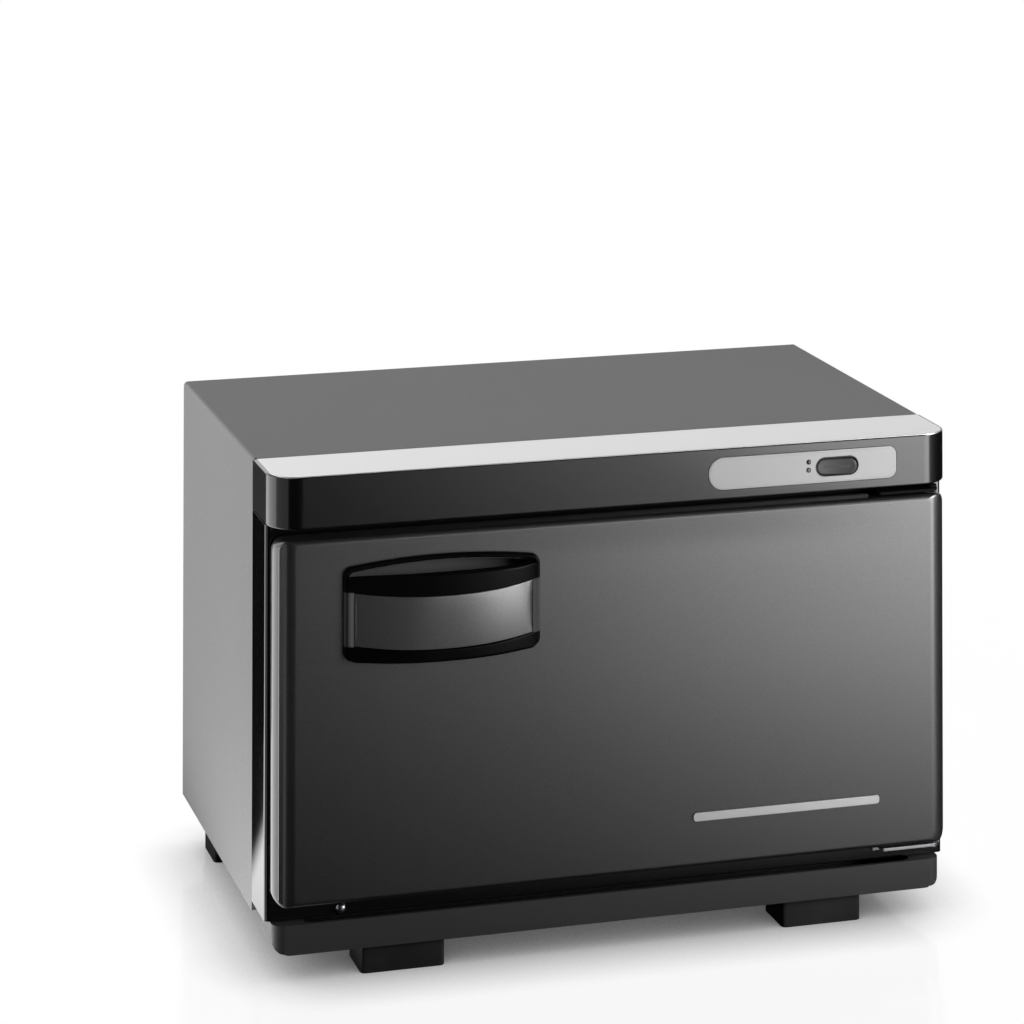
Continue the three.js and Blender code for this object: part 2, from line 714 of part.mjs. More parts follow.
add("door_shell", doorShell(), finish.doorGloss, door);
const bottomBush = hingeBush(DOOR_BOTTOM + 0.2, DOOR_BOTTOM + 12);
add("hinge_bush_bottom", bottomBush, finish.linerWhite, door);
add("hinge_bush_top", hingeBush(DOOR_TOP - 12, DOOR_TOP - 0.2), finish.linerWhite, door);
add("door_liner", doorLiner(), finish.linerWhite, door);
add("door_insulation", doorInsulation(), finish.foam, door);
add("door_gasket", doorGasket(), finish.silicone, door);
const striker = box(span(6, CATCH_X), [-133.9, -132.3], span(11, CATCH_Z));
add("catch_striker", striker, finish.zinc, door);
add("catch_magnet", catchMagnet(), finish.magnetCase);

// ---- Pull: bezel, cup behind it, bulged grip and its face insert -----------
const PULL_HALF = 61.5;
const PULL_BACK = FRONT - 3.3;
const PULL_DEPTH = BULGE - 3.3;

function handleBezel() {
  return cut(
    join(
      prismY(rim(63, [198.6, 255.6]), [FRONT - 3, FRONT - 0.3]),
      prismY(mouth(60.2, [201.5, 252.7]), [FRONT - 1, FRONT + 3]),
    ),
    prismY(mouth(59, [202.6, 251.6]), [FRONT - 10, FRONT + 10]),
  );
}

// Dished cup, its floor 11.6 mm behind the door's face.
function handleCup() {
  return cut(
    join(
      prismY(rim(64, [197.7, 256.5]), [FRONT + 3.3, FRONT + 5]),
      prismY(mouth(60, [201.7, 252.5]), [FRONT + 3.3, FRONT + 13]),
    ),
    prismY(mouth(58.6, [203, 251.2]), [FRONT - 1, FRONT + 11.6]),
  );
}

// Plan of the bulge: a bow from one end of the pull to the other.
function bow(half, depth, y, segments) {
  return Array.from({ length: segments + 1 }, (_, i) => {
    const u = -1 + (2 * i) / segments;
    const bulge = depth * Math.pow(1 - Math.pow(Math.abs(u), 2.4), 0.9);
    return point(HANDLE_X + half * u, y - bulge);
  });
}

// Bowed layer that follows the front of the pull, cut to the insert's outline:
// both long edges sag towards the middle.
function insertLayer(clearance, y0, y1) {
  const front = (y) => bow(PULL_HALF, PULL_DEPTH, y, 40)
    .filter(({ x }) => Math.abs(x - HANDLE_X) < 58.5);
  const edge = (z, sag) => Array.from({ length: 11 }, (_, i) => {
    const u = -1 + (2 * i) / 10;
    return point(HANDLE_X + (57 + clearance) * u, z - sag * (1 - u * u));
  });
  const outline = [...edge(208.7 - clearance, 3.4), ...edge(240.9 + clearance, 3.2).reverse()];
  return prismZ([...front(y0), ...front(y1).reverse()], [190, 260])
    .intersect(prismY(outline, [FRONT - 40, FRONT + 5]));
}

function handlePull() {
  const body = prismZ(bow(PULL_HALF, PULL_DEPTH, PULL_BACK, 40), [196, 252]);
  // hollow from above, leaving a floor and a wall
  const hollow = [
    point(HANDLE_X - 55, PULL_BACK + 1),
    ...bow(54, PULL_DEPTH - 4.2, PULL_BACK, 20).slice(1, -1),
    point(HANDLE_X + 55, PULL_BACK + 1),
  ];
  // the lower edge sags slightly and its corners are rounded
  const face = arched(62, [198.6, 262], [1.4, 1], 6, 10);
  return cut(
    cut(body, prismZ(hollow, [201, 260])).intersect(prismY(face, [FRONT - 30, FRONT + 5])),
    insertLayer(0.4, PULL_BACK - 12, PULL_BACK + 1.5), // shallow seat for the insert
  );
}

add("handle_bezel", handleBezel(), finish.glossBlack, door);
add("handle_cup", handleCup(), finish.glossBlack, door);
add("handle_pull", handlePull(), finish.glossBlack, door);
const handleInsert = insertLayer(0, PULL_BACK + 0.4, PULL_BACK + 1.2);
add("handle_insert", handleInsert, finish.smokedInsert, door);
const badge = prismY(rect([47.5, 173.5], [79.7, 85.1], 2, 3), [FRONT - 1.1, FRONT - 0.3]);
add("door_badge", badge, finish.silverTrim, door);

// ---- Hinges and frame screw ------------------------------------------------
// Plate across the hinge line with an upright flange against the frame.
function hingeBracket(left, front, plateBottom, flangeZ) {
  const [right, rear] = [218, -129.6];
  const plan = rounded([[left, front, 2], [right, front, 7], [right, rear, 0], [left, rear, 0]], 4);
  return cut(
    join(
      prismZ(plan, [plateBottom, plateBottom + 1.8]),
      box([left, right], [-131.2, -129.4], flangeZ),
    ),
    onHinge(2.35, 12, plateBottom, 14),
  );
}

const hingePin = (shankZ, headZ) => join(onHinge(2, 13, shankZ, 14), onHinge(3.6, 1.4, headZ, 14));

function frameScrew() {
  // [radius, length]
  const profile = [[0, 0], [1.8, 0], [1.8, 9], [3.2, 9], [3.2, 10.2], [2.2, 11.4], [0, 11.8]];
  return turnedForward(profile, 14, [SCREW_X, FRAME_FRONT + 8.6, SCREW_Z]);
}

add("hinge_bracket_bottom", hingeBracket(176, -147, 48.1, [43.6, 49]), finish.zinc);
add("hinge_pin_bottom", hingePin(53.9, 46.9), finish.zinc);
add("hinge_bracket_top", hingeBracket(175, -145, 275, [275, 280.1]), finish.blackSteel);
add("hinge_pin_top", hingePin(271.2, 277.9), finish.zinc);
add("frame_screw", frameScrew(), finish.zinc);

// ---- Drip tray -------------------------------------------------------------
function dripTray() {
  const bodyHalf = 204;
  const rear = -92;
  const bodyZ = [TRAY_BOTTOM + 0.9, TRAY_TOP];
  const panel = rect(span(TRAY_HALF), [TRAY_FRONT, TRAY_FRONT + 10], [8, 1], 5);
  const body = rect(span(bodyHalf), [TRAY_FRONT + 5, rear], [0, 2], 5);
  const face = rect(span(TRAY_HALF), bodyZ, [7, 0], 4);
  const lip = rect(span(TRAY_HALF - 7), [TRAY_FRONT, -131.5], [4, 0], 4);
  const trough = rect(span(bodyHalf - 3), [TRAY_FRONT + 3, rear - 3], [5, 2], 4);
  // cheeks carry the panel's ends back along the sides
  const cheeks = SIDES.map((side) =>
    box([side * (bodyHalf - 1), side * TRAY_HALF], [TRAY_FRONT + 8.6, -102], bodyZ));
  // tongues run back through the slots in the base pan
  const tongues = SIDES.map((side) =>
    box(span(10, side * TONGUE_X), [-93.5, -32], [TRAY_BOTTOM + 1.6, TRAY_BOTTOM + 5]));
  const shell = join(
    join(prismZ(panel, bodyZ), ...cheeks).intersect(prismY(face, [-150, -80])),
    prismZ(body, bodyZ),
    prismZ(lip, [TRAY_BOTTOM, TRAY_BOTTOM + 2]), // hides the base pan's edge
  );
  return join(cut(shell, prismZ(trough, [TRAY_BOTTOM + 4.5, TRAY_TOP + 5])), ...tongues);
}

add("drip_tray", dripTray(), finish.glossBlack);

export default cabinet;
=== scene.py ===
import json
import math

import bmesh
import bpy
import numpy as np
from mathutils import Matrix, Vector

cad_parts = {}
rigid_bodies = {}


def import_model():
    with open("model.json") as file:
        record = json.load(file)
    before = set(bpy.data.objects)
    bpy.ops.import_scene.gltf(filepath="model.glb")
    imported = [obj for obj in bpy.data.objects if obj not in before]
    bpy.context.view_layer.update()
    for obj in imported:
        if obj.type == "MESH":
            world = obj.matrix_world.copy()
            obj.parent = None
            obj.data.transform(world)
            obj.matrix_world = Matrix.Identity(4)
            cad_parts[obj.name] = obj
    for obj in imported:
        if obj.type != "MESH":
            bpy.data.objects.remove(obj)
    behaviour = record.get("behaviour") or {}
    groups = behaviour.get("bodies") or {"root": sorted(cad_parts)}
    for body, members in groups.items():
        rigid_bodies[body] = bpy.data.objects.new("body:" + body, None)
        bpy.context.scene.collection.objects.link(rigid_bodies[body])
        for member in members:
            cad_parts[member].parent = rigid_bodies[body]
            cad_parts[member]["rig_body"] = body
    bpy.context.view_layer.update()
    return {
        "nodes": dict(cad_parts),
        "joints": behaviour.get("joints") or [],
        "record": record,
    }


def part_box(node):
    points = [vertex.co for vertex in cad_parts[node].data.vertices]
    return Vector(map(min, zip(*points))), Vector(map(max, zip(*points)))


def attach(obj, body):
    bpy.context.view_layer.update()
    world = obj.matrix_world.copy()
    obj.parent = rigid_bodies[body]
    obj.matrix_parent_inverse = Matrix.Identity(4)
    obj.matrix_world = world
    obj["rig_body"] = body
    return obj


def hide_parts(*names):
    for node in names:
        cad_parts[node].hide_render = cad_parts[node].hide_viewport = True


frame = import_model()
NODES = frame["nodes"]
MM = 0.001
PI = math.pi


def box_mm(node):
    lo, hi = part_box(node)
    return [v * 1000 for v in lo], [v * 1000 for v in hi]


# middle of the door's pull, across the cabinet
PX = (box_mm("handle_bezel")[0][0] + box_mm("handle_bezel")[1][0]) / 2


# ---------------------------------------------------------------- materials
def material(name):
    m = bpy.data.materials.new(name)
    m.use_nodes = True
    nt = m.node_tree
    nt.nodes.clear()
    out = nt.nodes.new("ShaderNodeOutputMaterial")
    b = nt.nodes.new("ShaderNodeBsdfPrincipled")
    nt.links.new(b.outputs[0], out.inputs[0])
    return m, nt, b


def coord(nt, scale=(1, 1, 1), rot=(0, 0, 0)):
    t = nt.nodes.new("ShaderNodeTexCoord")
    mp = nt.nodes.new("ShaderNodeMapping")
    mp.inputs["Scale"].default_value = scale
    mp.inputs["Rotation"].default_value = rot
    nt.links.new(t.outputs["Object"], mp.inputs[0])
    return mp.outputs[0]


def noise(nt, scale, detail=3.0, rough=0.5, vec=None, distortion=0.0):
    n = nt.nodes.new("ShaderNodeTexNoise")
    n.inputs["Scale"].default_value = scale
    n.inputs["Detail"].default_value = detail
    n.inputs["Roughness"].default_value = rough
    n.inputs["Distortion"].default_value = distortion
    nt.links.new(vec if vec is not None else coord(nt), n.inputs["Vector"])
    return n.outputs[0]


def voronoi(nt, scale, vec=None, feature="F1"):
    n = nt.nodes.new("ShaderNodeTexVoronoi")
    n.feature = feature
    n.inputs["Scale"].default_value = scale
    nt.links.new(vec if vec is not None else coord(nt), n.inputs["Vector"])
    return n


def remap(nt, fac, lo, hi, a=0.0, b=1.0):
    n = nt.nodes.new("ShaderNodeMapRange")
    n.inputs["From Min"].default_value = a
    n.inputs["From Max"].default_value = b
    n.inputs["To Min"].default_value = lo
    n.inputs["To Max"].default_value = hi
    nt.links.new(fac, n.inputs["Value"])
    return n.outputs[0]


def mix_rgb(nt, fac, a, b):
    n = nt.nodes.new("ShaderNodeMix")
    n.data_type = "RGBA"
    if isinstance(fac, float):
        n.inputs[0].default_value = fac
    else:
        nt.links.new(fac, n.inputs[0])
    for k, v in ((6, a), (7, b)):
        if isinstance(v, (tuple, list)):
            n.inputs[k].default_value = (*v[:3], 1)
        else:
            nt.links.new(v, n.inputs[k])
    return n.outputs[2]


def math_node(nt, op, a, b=None):
    n = nt.nodes.new("ShaderNodeMath")
    n.operation = op
    for k, v in ((0, a), (1, b)):
        if v is None:
            continue
        if isinstance(v, (int, float)):
            n.inputs[k].default_value = v
        else:
            nt.links.new(v, n.inputs[k])
    return n.outputs[0]


def bump(nt, bsdf, height, strength, distance, chain=None):
    n = nt.nodes.new("ShaderNodeBump")
    n.inputs["Strength"].default_value = strength
    n.inputs["Distance"].default_value = distance
    nt.links.new(height, n.inputs["Height"])
    if chain is not None:
        nt.links.new(chain, n.inputs["Normal"])
    nt.links.new(n.outputs[0], bsdf.inputs["Normal"])
    return n.outputs[0]


def g(v):
    return (v, v, v)


def tint(v, t=(1, 1, 1)):
    if isinstance(v, (tuple, list)):
        return tuple(a * k for a, k in zip(v, t))
    return tuple(v * k for k in t)


def gloss_plastic(name, base, rough=0.07, spread=0.05, spec=0.5, coat=0.0, peel_depth=0.05):
    """Moulded gloss: faint long-wave orange peel, wiping haze and a little dust."""
    m, nt, b = material(name)
    haze = noise(nt, 9, 4, 0.6, distortion=0.6)
    fine = noise(nt, 900, 2, 0.5)
    col = mix_rgb(nt, remap(nt, haze, 0, 1, 0.3, 0.7), tint(base, (0.92, 0.92, 0.92)), tint(base, (1.08, 1.08, 1.08)))
    nt.links.new(col, b.inputs["Base Color"])
    r = math_node(nt, "ADD", remap(nt, haze, rough, rough + spread, 0.35, 0.75), remap(nt, fine, 0, 0.02, 0.5, 0.9))
    nt.links.new(r, b.inputs["Roughness"])
    b.inputs["Specular IOR Level"].default_value = spec
    b.inputs["Coat Weight"].default_value = coat
    b.inputs["Coat Roughness"].default_value = 0.03
    peel = noise(nt, 260, 2, 0.4)
    bump(nt, b, peel, peel_depth, 0.00006)
    return m


def grip_plastic(name):
    """Black satin plastic whose two ends are smoked like the face between them; the left end carries a painted
    highlight, a paler strip where it turns.
    """
    m, nt, b = material(name)
    sep = nt.nodes.new("ShaderNodeSeparateXYZ")
    nt.links.new(coord(nt, (1000, 1000, 1000)), sep.inputs[0])
    away = math_node(nt, "ABSOLUTE", math_node(nt, "SUBTRACT", sep.outputs[0], PX))
    sag = remap(nt, away, -3.3, 0.0, 0.0, 57.4)
    side = remap(nt, away, 0.0, 1.0, 56.6, 57.4)
    above = remap(nt, math_node(nt, "SUBTRACT", sep.outputs[2], sag), 0.0, 1.0, 207.9, 208.7)
    below = remap(nt, math_node(nt, "SUBTRACT", sep.outputs[2], sag), 1.0, 0.0, 240.9, 241.7)
    ends = math_node(nt, "MULTIPLY", side, math_node(nt, "MULTIPLY", above, below))
    # painted highlight: the base colour pales towards 0.20 in a strip near x = PX - 58.6, standing in for light caught
    # on the left end's turn
    painted_highlight_mask = remap(nt, math_node(nt, "ABSOLUTE", math_node(nt, "SUBTRACT", sep.outputs[0], PX - 58.6)), 1.0, 0.0, 0.4, 2.6)
    haze = noise(nt, 9, 4, 0.6, distortion=0.6)
    smoke_and_painted_highlight = mix_rgb(nt, painted_highlight_mask, g(0.055), g(0.20))
    dark = mix_rgb(nt, remap(nt, haze, 0, 1, 0.3, 0.7), g(0.002), g(0.004))
    nt.links.new(mix_rgb(nt, ends, dark, smoke_and_painted_highlight), b.inputs["Base Color"])
    nt.links.new(remap(nt, haze, 0.20, 0.28, 0.35, 0.75), b.inputs["Roughness"])
    nt.links.new(remap(nt, ends, 0.04, 0.25), b.inputs["Specular IOR Level"])
    bump(nt, b, noise(nt, 260, 2, 0.4), 0.05, 0.00006)
    return m


def door_paint(name, base, metal, rough, coat=1.0, coat_rough=0.04):
    """Dark metallic lacquer under a clear coat: fine flake below, slight orange peel above."""
    m, nt, b = material(name)
    flake = voronoi(nt, 2600)
    tone = noise(nt, 5, 3, 0.5)
    c0 = mix_rgb(nt, remap(nt, flake.outputs["Color"], 0, 1), tint(base, g(0.82)), tint(base, g(1.2)))
    col = mix_rgb(nt, remap(nt, tone, 0, 0.25, 0.35, 0.7), c0, tint(base, g(1.1)))
    nt.links.new(col, b.inputs["Base Color"])
    b.inputs["Metallic"].default_value = metal
    nt.links.new(remap(nt, tone, rough - 0.02, rough + 0.03, 0.3, 0.7), b.inputs["Roughness"])
    b.inputs["Coat Weight"].default_value = coat
    b.inputs["Coat Roughness"].default_value = coat_rough
    n1 = bump(nt, b, flake.outputs["Distance"], 0.10, 0.00003)
    peel = noise(nt, 230, 2, 0.4)
    n = nt.nodes.new("ShaderNodeBump")
    n.inputs["Strength"].default_value = 0.06
    n.inputs["Distance"].default_value = 0.00006
    nt.links.new(peel, n.inputs["Height"])
    nt.links.new(n.outputs[0], b.inputs["Coat Normal"])
    return m


def painted_steel(name, base, rough=0.42, grain=0.35, metal=0.0):
    """Baked enamel with a fine leathery texture and a slow change of tone over the sheet."""
    m, nt, b = material(name)
    slow = noise(nt, 3.2, 4, 0.55)
    fine = noise(nt, 1500, 3, 0.6)
    grainy = noise(nt, 620, 3, 0.55)
    c0 = mix_rgb(nt, remap(nt, slow, 0, 1, 0.3, 0.72), tint(base, g(0.955)), tint(base, g(1.045)))
    col = mix_rgb(nt, remap(nt, fine, 0, 0.5, 0.35, 0.7), c0, tint(base, g(0.88)))
    nt.links.new(col, b.inputs["Base Color"])
    b.inputs["Metallic"].default_value = metal
    nt.links.new(remap(nt, grainy, rough - 0.05, rough + 0.07, 0.3, 0.7), b.inputs["Roughness"])
    bump(nt, b, grainy, grain, 0.00012)
    return m


def brushed(name, base, rough=0.3, axis="x", strength=0.12, aniso=0.5, lines=2200):
    """Rolled or brushed metal with the grain along one axis."""
    m, nt, b = material(name)
    s = {"x": (0.012, 1, 1), "y": (1, 0.012, 1), "z": (1, 1, 0.012)}[axis]
    grain = noise(nt, lines, 3, 0.65, coord(nt, s))
    broad = noise(nt, 60, 3, 0.5, coord(nt, tuple(0.1 if k < 1 else 1 for k in s)))
    cloud = noise(nt, 7, 3, 0.5)
    c0 = mix_rgb(nt, remap(nt, grain, 0, 1, 0.3, 0.7), tint(base, g(0.86)), tint(base, g(1.06)))
    col = mix_rgb(nt, remap(nt, cloud, 0, 0.35, 0.35, 0.7), c0, tint(base, g(0.93)))
    nt.links.new(col, b.inputs["Base Color"])
    b.inputs["Metallic"].default_value = 1.0
    r = math_node(nt, "ADD", remap(nt, grain, rough - 0.06, rough + 0.08, 0.3, 0.7), remap(nt, broad, -0.02, 0.04, 0.3, 0.7))
    nt.links.new(r, b.inputs["Roughness"])
    b.inputs["Anisotropic"].default_value = aniso
    bump(nt, b, grain, strength, 0.00004)
    return m


def satin_plate(name, base, metal=0.35, rough=0.38):
    """Satin metal with a sprayed grain."""
    m, nt, b = material(name)
    fine = noise(nt, 3000, 2, 0.6)
    cloud = noise(nt, 22, 3, 0.5)
    c0 = mix_rgb(nt, remap(nt, fine, 0, 1, 0.3, 0.7), tint(base, g(0.93)), tint(base, g(1.05)))
    col = mix_rgb(nt, remap(nt, cloud, 0, 0.3, 0.35, 0.7), c0, tint(base, g(0.95)))
    nt.links.new(col, b.inputs["Base Color"])
    b.inputs["Metallic"].default_value = metal
    nt.links.new(remap(nt, fine, rough - 0.05, rough + 0.07, 0.3, 0.7), b.inputs["Roughness"])
    bump(nt, b, fine, 0.10, 0.00003)
    return m


def moulded(name, base, rough=0.5, grain=0.3, scale=1100, spec=0.4, sub=0.0):
    """Matt moulding with a spark-eroded grain."""
    m, nt, b = material(name)
    cells = voronoi(nt, scale)
    soft = noise(nt, scale * 0.6, 3, 0.5)
    cloud = noise(nt, 14, 3, 0.5)
    col = mix_rgb(nt, remap(nt, cloud, 0, 1, 0.3, 0.7), tint(base, g(0.9)), tint(base, g(1.1)))
    nt.links.new(col, b.inputs["Base Color"])
    nt.links.new(remap(nt, soft, rough - 0.06, rough + 0.08, 0.3, 0.7), b.inputs["Roughness"])
    b.inputs["Specular IOR Level"].default_value = spec
    if sub:
        b.inputs["Subsurface Weight"].default_value = sub
        b.inputs["Subsurface Radius"].default_value = (0.002, 0.002, 0.002)
    h = math_node(nt, "ADD", cells.outputs["Distance"], soft)
    bump(nt, b, h, grain, 0.00006)
    return m


def rubbery(name, base, rough=0.62):
    """Rubber: matt, slightly mottled, with a little bloom."""
    m, nt, b = material(name)
    bloom = noise(nt, 28, 5, 0.65)
    fine = noise(nt, 1400, 2, 0.6)
    col = mix_rgb(nt, remap(nt, bloom, 0, 1, 0.4, 0.75), base, tint(base, g(2.0)))
    nt.links.new(col, b.inputs["Base Color"])
    nt.links.new(remap(nt, bloom, rough - 0.08, rough + 0.1, 0.3, 0.7), b.inputs["Roughness"])
    b.inputs["Specular IOR Level"].default_value = 0.35
    bump(nt, b, fine, 0.25, 0.00006)
    return m


def plated(name, base=(0.62, 0.625, 0.64), rough=0.30):
    """Bright zinc or nickel plate with the faint mottle of plated pressings."""
    m, nt, b = material(name)
    mott = noise(nt, 130, 4, 0.6)
    fine = noise(nt, 1700, 2, 0.5)
    col = mix_rgb(nt, remap(nt, mott, 0, 1, 0.3, 0.7), tint(base, (0.88, 0.89, 0.93)), tint(base, (1.05, 1.04, 1.0)))
    nt.links.new(col, b.inputs["Base Color"])
    b.inputs["Metallic"].default_value = 1.0
    nt.links.new(remap(nt, mott, rough - 0.03, rough + 0.06, 0.3, 0.7), b.inputs["Roughness"])
    bump(nt, b, fine, 0.02, 0.00002)
    return m


def wool_like(name, base, scale=520):
    """Felted fibres: two crossing stretched noises over a soft base."""
    m, nt, b = material(name)
    f1 = noise(nt, scale, 4, 0.7, coord(nt, (1, 0.15, 0.4)))
    f2 = noise(nt, scale, 4, 0.7, coord(nt, (0.15, 1, 0.4), (0, 0, 0.5)))
    h = math_node(nt, "MAXIMUM", f1, f2)
    cloud = noise(nt, 18, 4, 0.6)
    c0 = mix_rgb(nt, remap(nt, h, 0, 1, 0.4, 0.8), tint(base, g(0.62)), base)
    col = mix_rgb(nt, remap(nt, cloud, 0, 0.6, 0.35, 0.7), c0, tint(base, (1.04, 0.98, 0.9)))
    nt.links.new(col, b.inputs["Base Color"])
    b.inputs["Roughness"].default_value = 0.95
    b.inputs["Sheen Weight"].default_value = 0.3
    bump(nt, b, h, 0.8, 0.0008)
    return m


def board(name):
    """Circuit board: green mask with paler tracks."""
    m, nt, b = material(name)
    br = nt.nodes.new("ShaderNodeTexBrick")
    br.inputs["Scale"].default_value = 260
    br.inputs["Mortar Size"].default_value = 0.05
    nt.links.new(coord(nt, (1, 1, 1), (PI / 2, 0, 0)), br.inputs["Vector"])
    col = mix_rgb(nt, br.outputs["Fac"], (0.02, 0.09, 0.035), (0.06, 0.2, 0.08))
    nt.links.new(col, b.inputs["Base Color"])
    nt.links.new(remap(nt, noise(nt, 300), 0.25, 0.4, 0.3, 0.7), b.inputs["Roughness"])
    bump(nt, b, br.outputs["Fac"], 0.2, 0.00004)
    return m


def lens(name, base):
    """Tinted lamp lens with a faceted inner pattern."""
    m, nt, b = material(name)
    v = voronoi(nt, 1800)
    col = mix_rgb(nt, remap(nt, v.outputs["Distance"], 0, 1, 0, 0.6), base, tint(base, g(1.9)))
    nt.links.new(col, b.inputs["Base Color"])
    nt.links.new(remap(nt, noise(nt, 700), 0.06, 0.14, 0.3, 0.7), b.inputs["Roughness"])
    b.inputs["Transmission Weight"].default_value = 0.25
    b.inputs["Coat Weight"].default_value = 0.6
    bump(nt, b, v.outputs["Distance"], 0.12, 0.00006)
    return m


MAT = {
    "steel_grey": painted_steel("steel_grey", g(0.25), 0.50, 0.20),
    "gloss_black": gloss_plastic("gloss_black", g(0.006), 0.05, 0.04),
    "door_gloss": door_paint("door_gloss", g(0.075), 0.85, 0.42),
    "frame_gloss": gloss_plastic("frame_gloss", g(0.006), 0.05, 0.04, 0.95),
    "pull_black": grip_plastic("pull_black"),
    "fascia_gloss": door_paint("fascia_gloss", g(0.012), 0.85, 0.38),
    "smoked_insert": door_paint("smoked_insert", g(0.10), 0.36, 0.24, 0.45, 0.03),
    # painted light: the finger cup gets a pale matt grey so its shaded recess reads as lit, in place of the gloss
    # reflection it cannot catch
    "cup_painted_light_grey": moulded("cup_painted_light_grey", g(0.14), 0.42, 0.2, 1500),
    "silver_trim": satin_plate("silver_trim", g(0.97), 0.94, 0.38),
    "badge_silver": satin_plate("badge_silver", g(0.62), 0.5, 0.36),
    "silver_plate": satin_plate("silver_plate", g(0.34), 0.28),
    "button_grey": moulded("button_grey", g(0.055), 0.36, 0.25, 1500),
    "lamp_dark": lens("lamp_dark", (0.035, 0.02, 0.02)),
    "lamp_grey": lens("lamp_grey", (0.13, 0.13, 0.13)),
    "black_steel": painted_steel("black_steel", g(0.018), 0.48, 0.30),
    # painted shade: a near-black that makes the top hinge parts read as shadow
    "painted_shade_black": moulded("painted_shade_black", g(0.004), 0.7, 0.2, 1500, 0.1),
    "tray_black": painted_steel("tray_black", g(0.05), 0.40, 0.15),
    "zinc": plated("zinc"),
    "aluminium": brushed("aluminium", (0.74, 0.75, 0.765), 0.34, "z", 0.10, 0.3, 1500),
    "aluminium_flat": brushed("aluminium_flat", (0.74, 0.75, 0.765), 0.34, "y", 0.10, 0.3, 1500),
    "stainless": plated("stainless", (0.70, 0.70, 0.715), 0.16),
    "liner_white": moulded("liner_white", (0.66, 0.66, 0.645), 0.42, 0.12, 900, 0.5, 0.08),
    "wool": wool_like("wool", (0.62, 0.52, 0.24)),
    "foam": wool_like("foam", (0.68, 0.66, 0.58), 900),
    "rubber": rubbery("rubber", g(0.012)),
    "silicone": rubbery("silicone", g(0.045), 0.5),
    "board_green": board("board_green"),
    "phenolic": moulded("phenolic", g(0.018), 0.45, 0.25, 1200),
    "cord_black": rubbery("cord_black", g(0.016), 0.5),
    "magnet_case": moulded("magnet_case", g(0.02), 0.5, 0.3, 1000),
    "print_dark": moulded("print_dark", g(0.10), 0.5, 0.1, 2500),
    "dark_void": moulded("dark_void", g(0.01), 0.7, 0.2, 700),
}


# ---------------------------------------------------------------- mesh tools
def finish_mesh(obj, mat, smooth_angle=32.0, weighted=True):
    me = obj.data
    if isinstance(mat, str):
        mat = MAT[mat]
    if not me.materials:
        me.materials.append(mat)
    me.shade_smooth()
    bm = bmesh.new()
    bm.from_mesh(me)
    limit = math.radians(smooth_angle)
    for e in bm.edges:
        e.smooth = not (len(e.link_faces) == 2 and e.calc_face_angle(0.0) > limit)
    bm.to_mesh(me)
    bm.free()
    if weighted:
        w = obj.modifiers.new("weighted", "WEIGHTED_NORMAL")
        w.keep_sharp = True
        w.weight = 70
    return obj


def add_object(name, bm, mat, body, replaces=(), angle=32.0, weighted=True):
    bmesh.ops.remove_doubles(bm, verts=bm.verts, dist=2e-6)
    bmesh.ops.recalc_face_normals(bm, faces=bm.faces)
    me = bpy.data.meshes.new(name)
    bm.to_mesh(me)
    bm.free()
    obj = bpy.data.objects.new(name, me)
    bpy.context.scene.collection.objects.link(obj)
    finish_mesh(obj, mat, angle, weighted)
    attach(obj, body)
    if replaces:
        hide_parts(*replaces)
    return obj


def loft_into(bm, loops, cap0=True, cap1=True):
    """Joins closed loops of equal length, given in mm, into a skin."""
    rows = [[bm.verts.new(Vector(p) * MM) for p in loop] for loop in loops]
    n = len(rows[0])
    for a, b in zip(rows, rows[1:]):
        for i in range(n):
            j = (i + 1) % n
            try:
                bm.faces.new((a[i], a[j], b[j], b[i]))
            except ValueError:
                pass
    for cap, row in ((cap0, rows[0]), (cap1, rows[-1])):
        if cap:
            try:
                bm.faces.new(row)
            except ValueError:
                pass
    return rows


def rrect(x0, x1, z0, z1, r, nc=10, ns=10):
    """Rounded rectangle, counter-clockwise from the lower left straight; r is one radius or four (ll, lr, ur, ul).
    Returns points and their outward normals; equal counts for equal nc, ns."""
    rs = [r] * 4 if isinstance(r, (int, float)) else list(r)
    centres = [(x0 + rs[0], z0 + rs[0]), (x1 - rs[1], z0 + rs[1]), (x1 - rs[2], z1 - rs[2]), (x0 + rs[3], z1 - rs[3])]
    pts, nor = [], []
    for k in range(4):
        a0 = PI + k * PI / 2
        cx, cz = centres[k]
        for i in range(nc + 1):
            a = a0 + (PI / 2) * i / nc
            pts.append((cx + rs[k] * math.cos(a), cz + rs[k] * math.sin(a)))
            nor.append((math.cos(a), math.sin(a)))
        nxt = centres[(k + 1) % 4]
        a = a0 + PI / 2
        p = pts[-1]
        q = (nxt[0] + rs[(k + 1) % 4] * math.cos(a), nxt[1] + rs[(k + 1) % 4] * math.sin(a))
        for i in range(1, ns):
            t = i / ns
            pts.append((p[0] + (q[0] - p[0]) * t, p[1] + (q[1] - p[1]) * t))
            nor.append((math.cos(a), math.sin(a)))
    return pts, nor


def box_into(bm, x0, x1, y0, y1, z0, z1, bevel=0.0, seg=2):
    sub = bmesh.new()
    bmesh.ops.create_cube(sub, size=1.0)
    for v in sub.verts:
        v.co = Vector(((x0 + x1) / 2 + v.co.x * (x1 - x0), (y0 + y1) / 2 + v.co.y * (y1 - y0), (z0 + z1) / 2 + v.co.z * (z1 - z0))) * MM
    if bevel:
        bmesh.ops.bevel(sub, geom=list(sub.edges), offset=bevel * MM, segments=seg, profile=0.5, affect="EDGES")
    me = bpy.data.meshes.new("tmp")
    sub.to_mesh(me)
    sub.free()
    bm.from_mesh(me)
    bpy.data.meshes.remove(me)


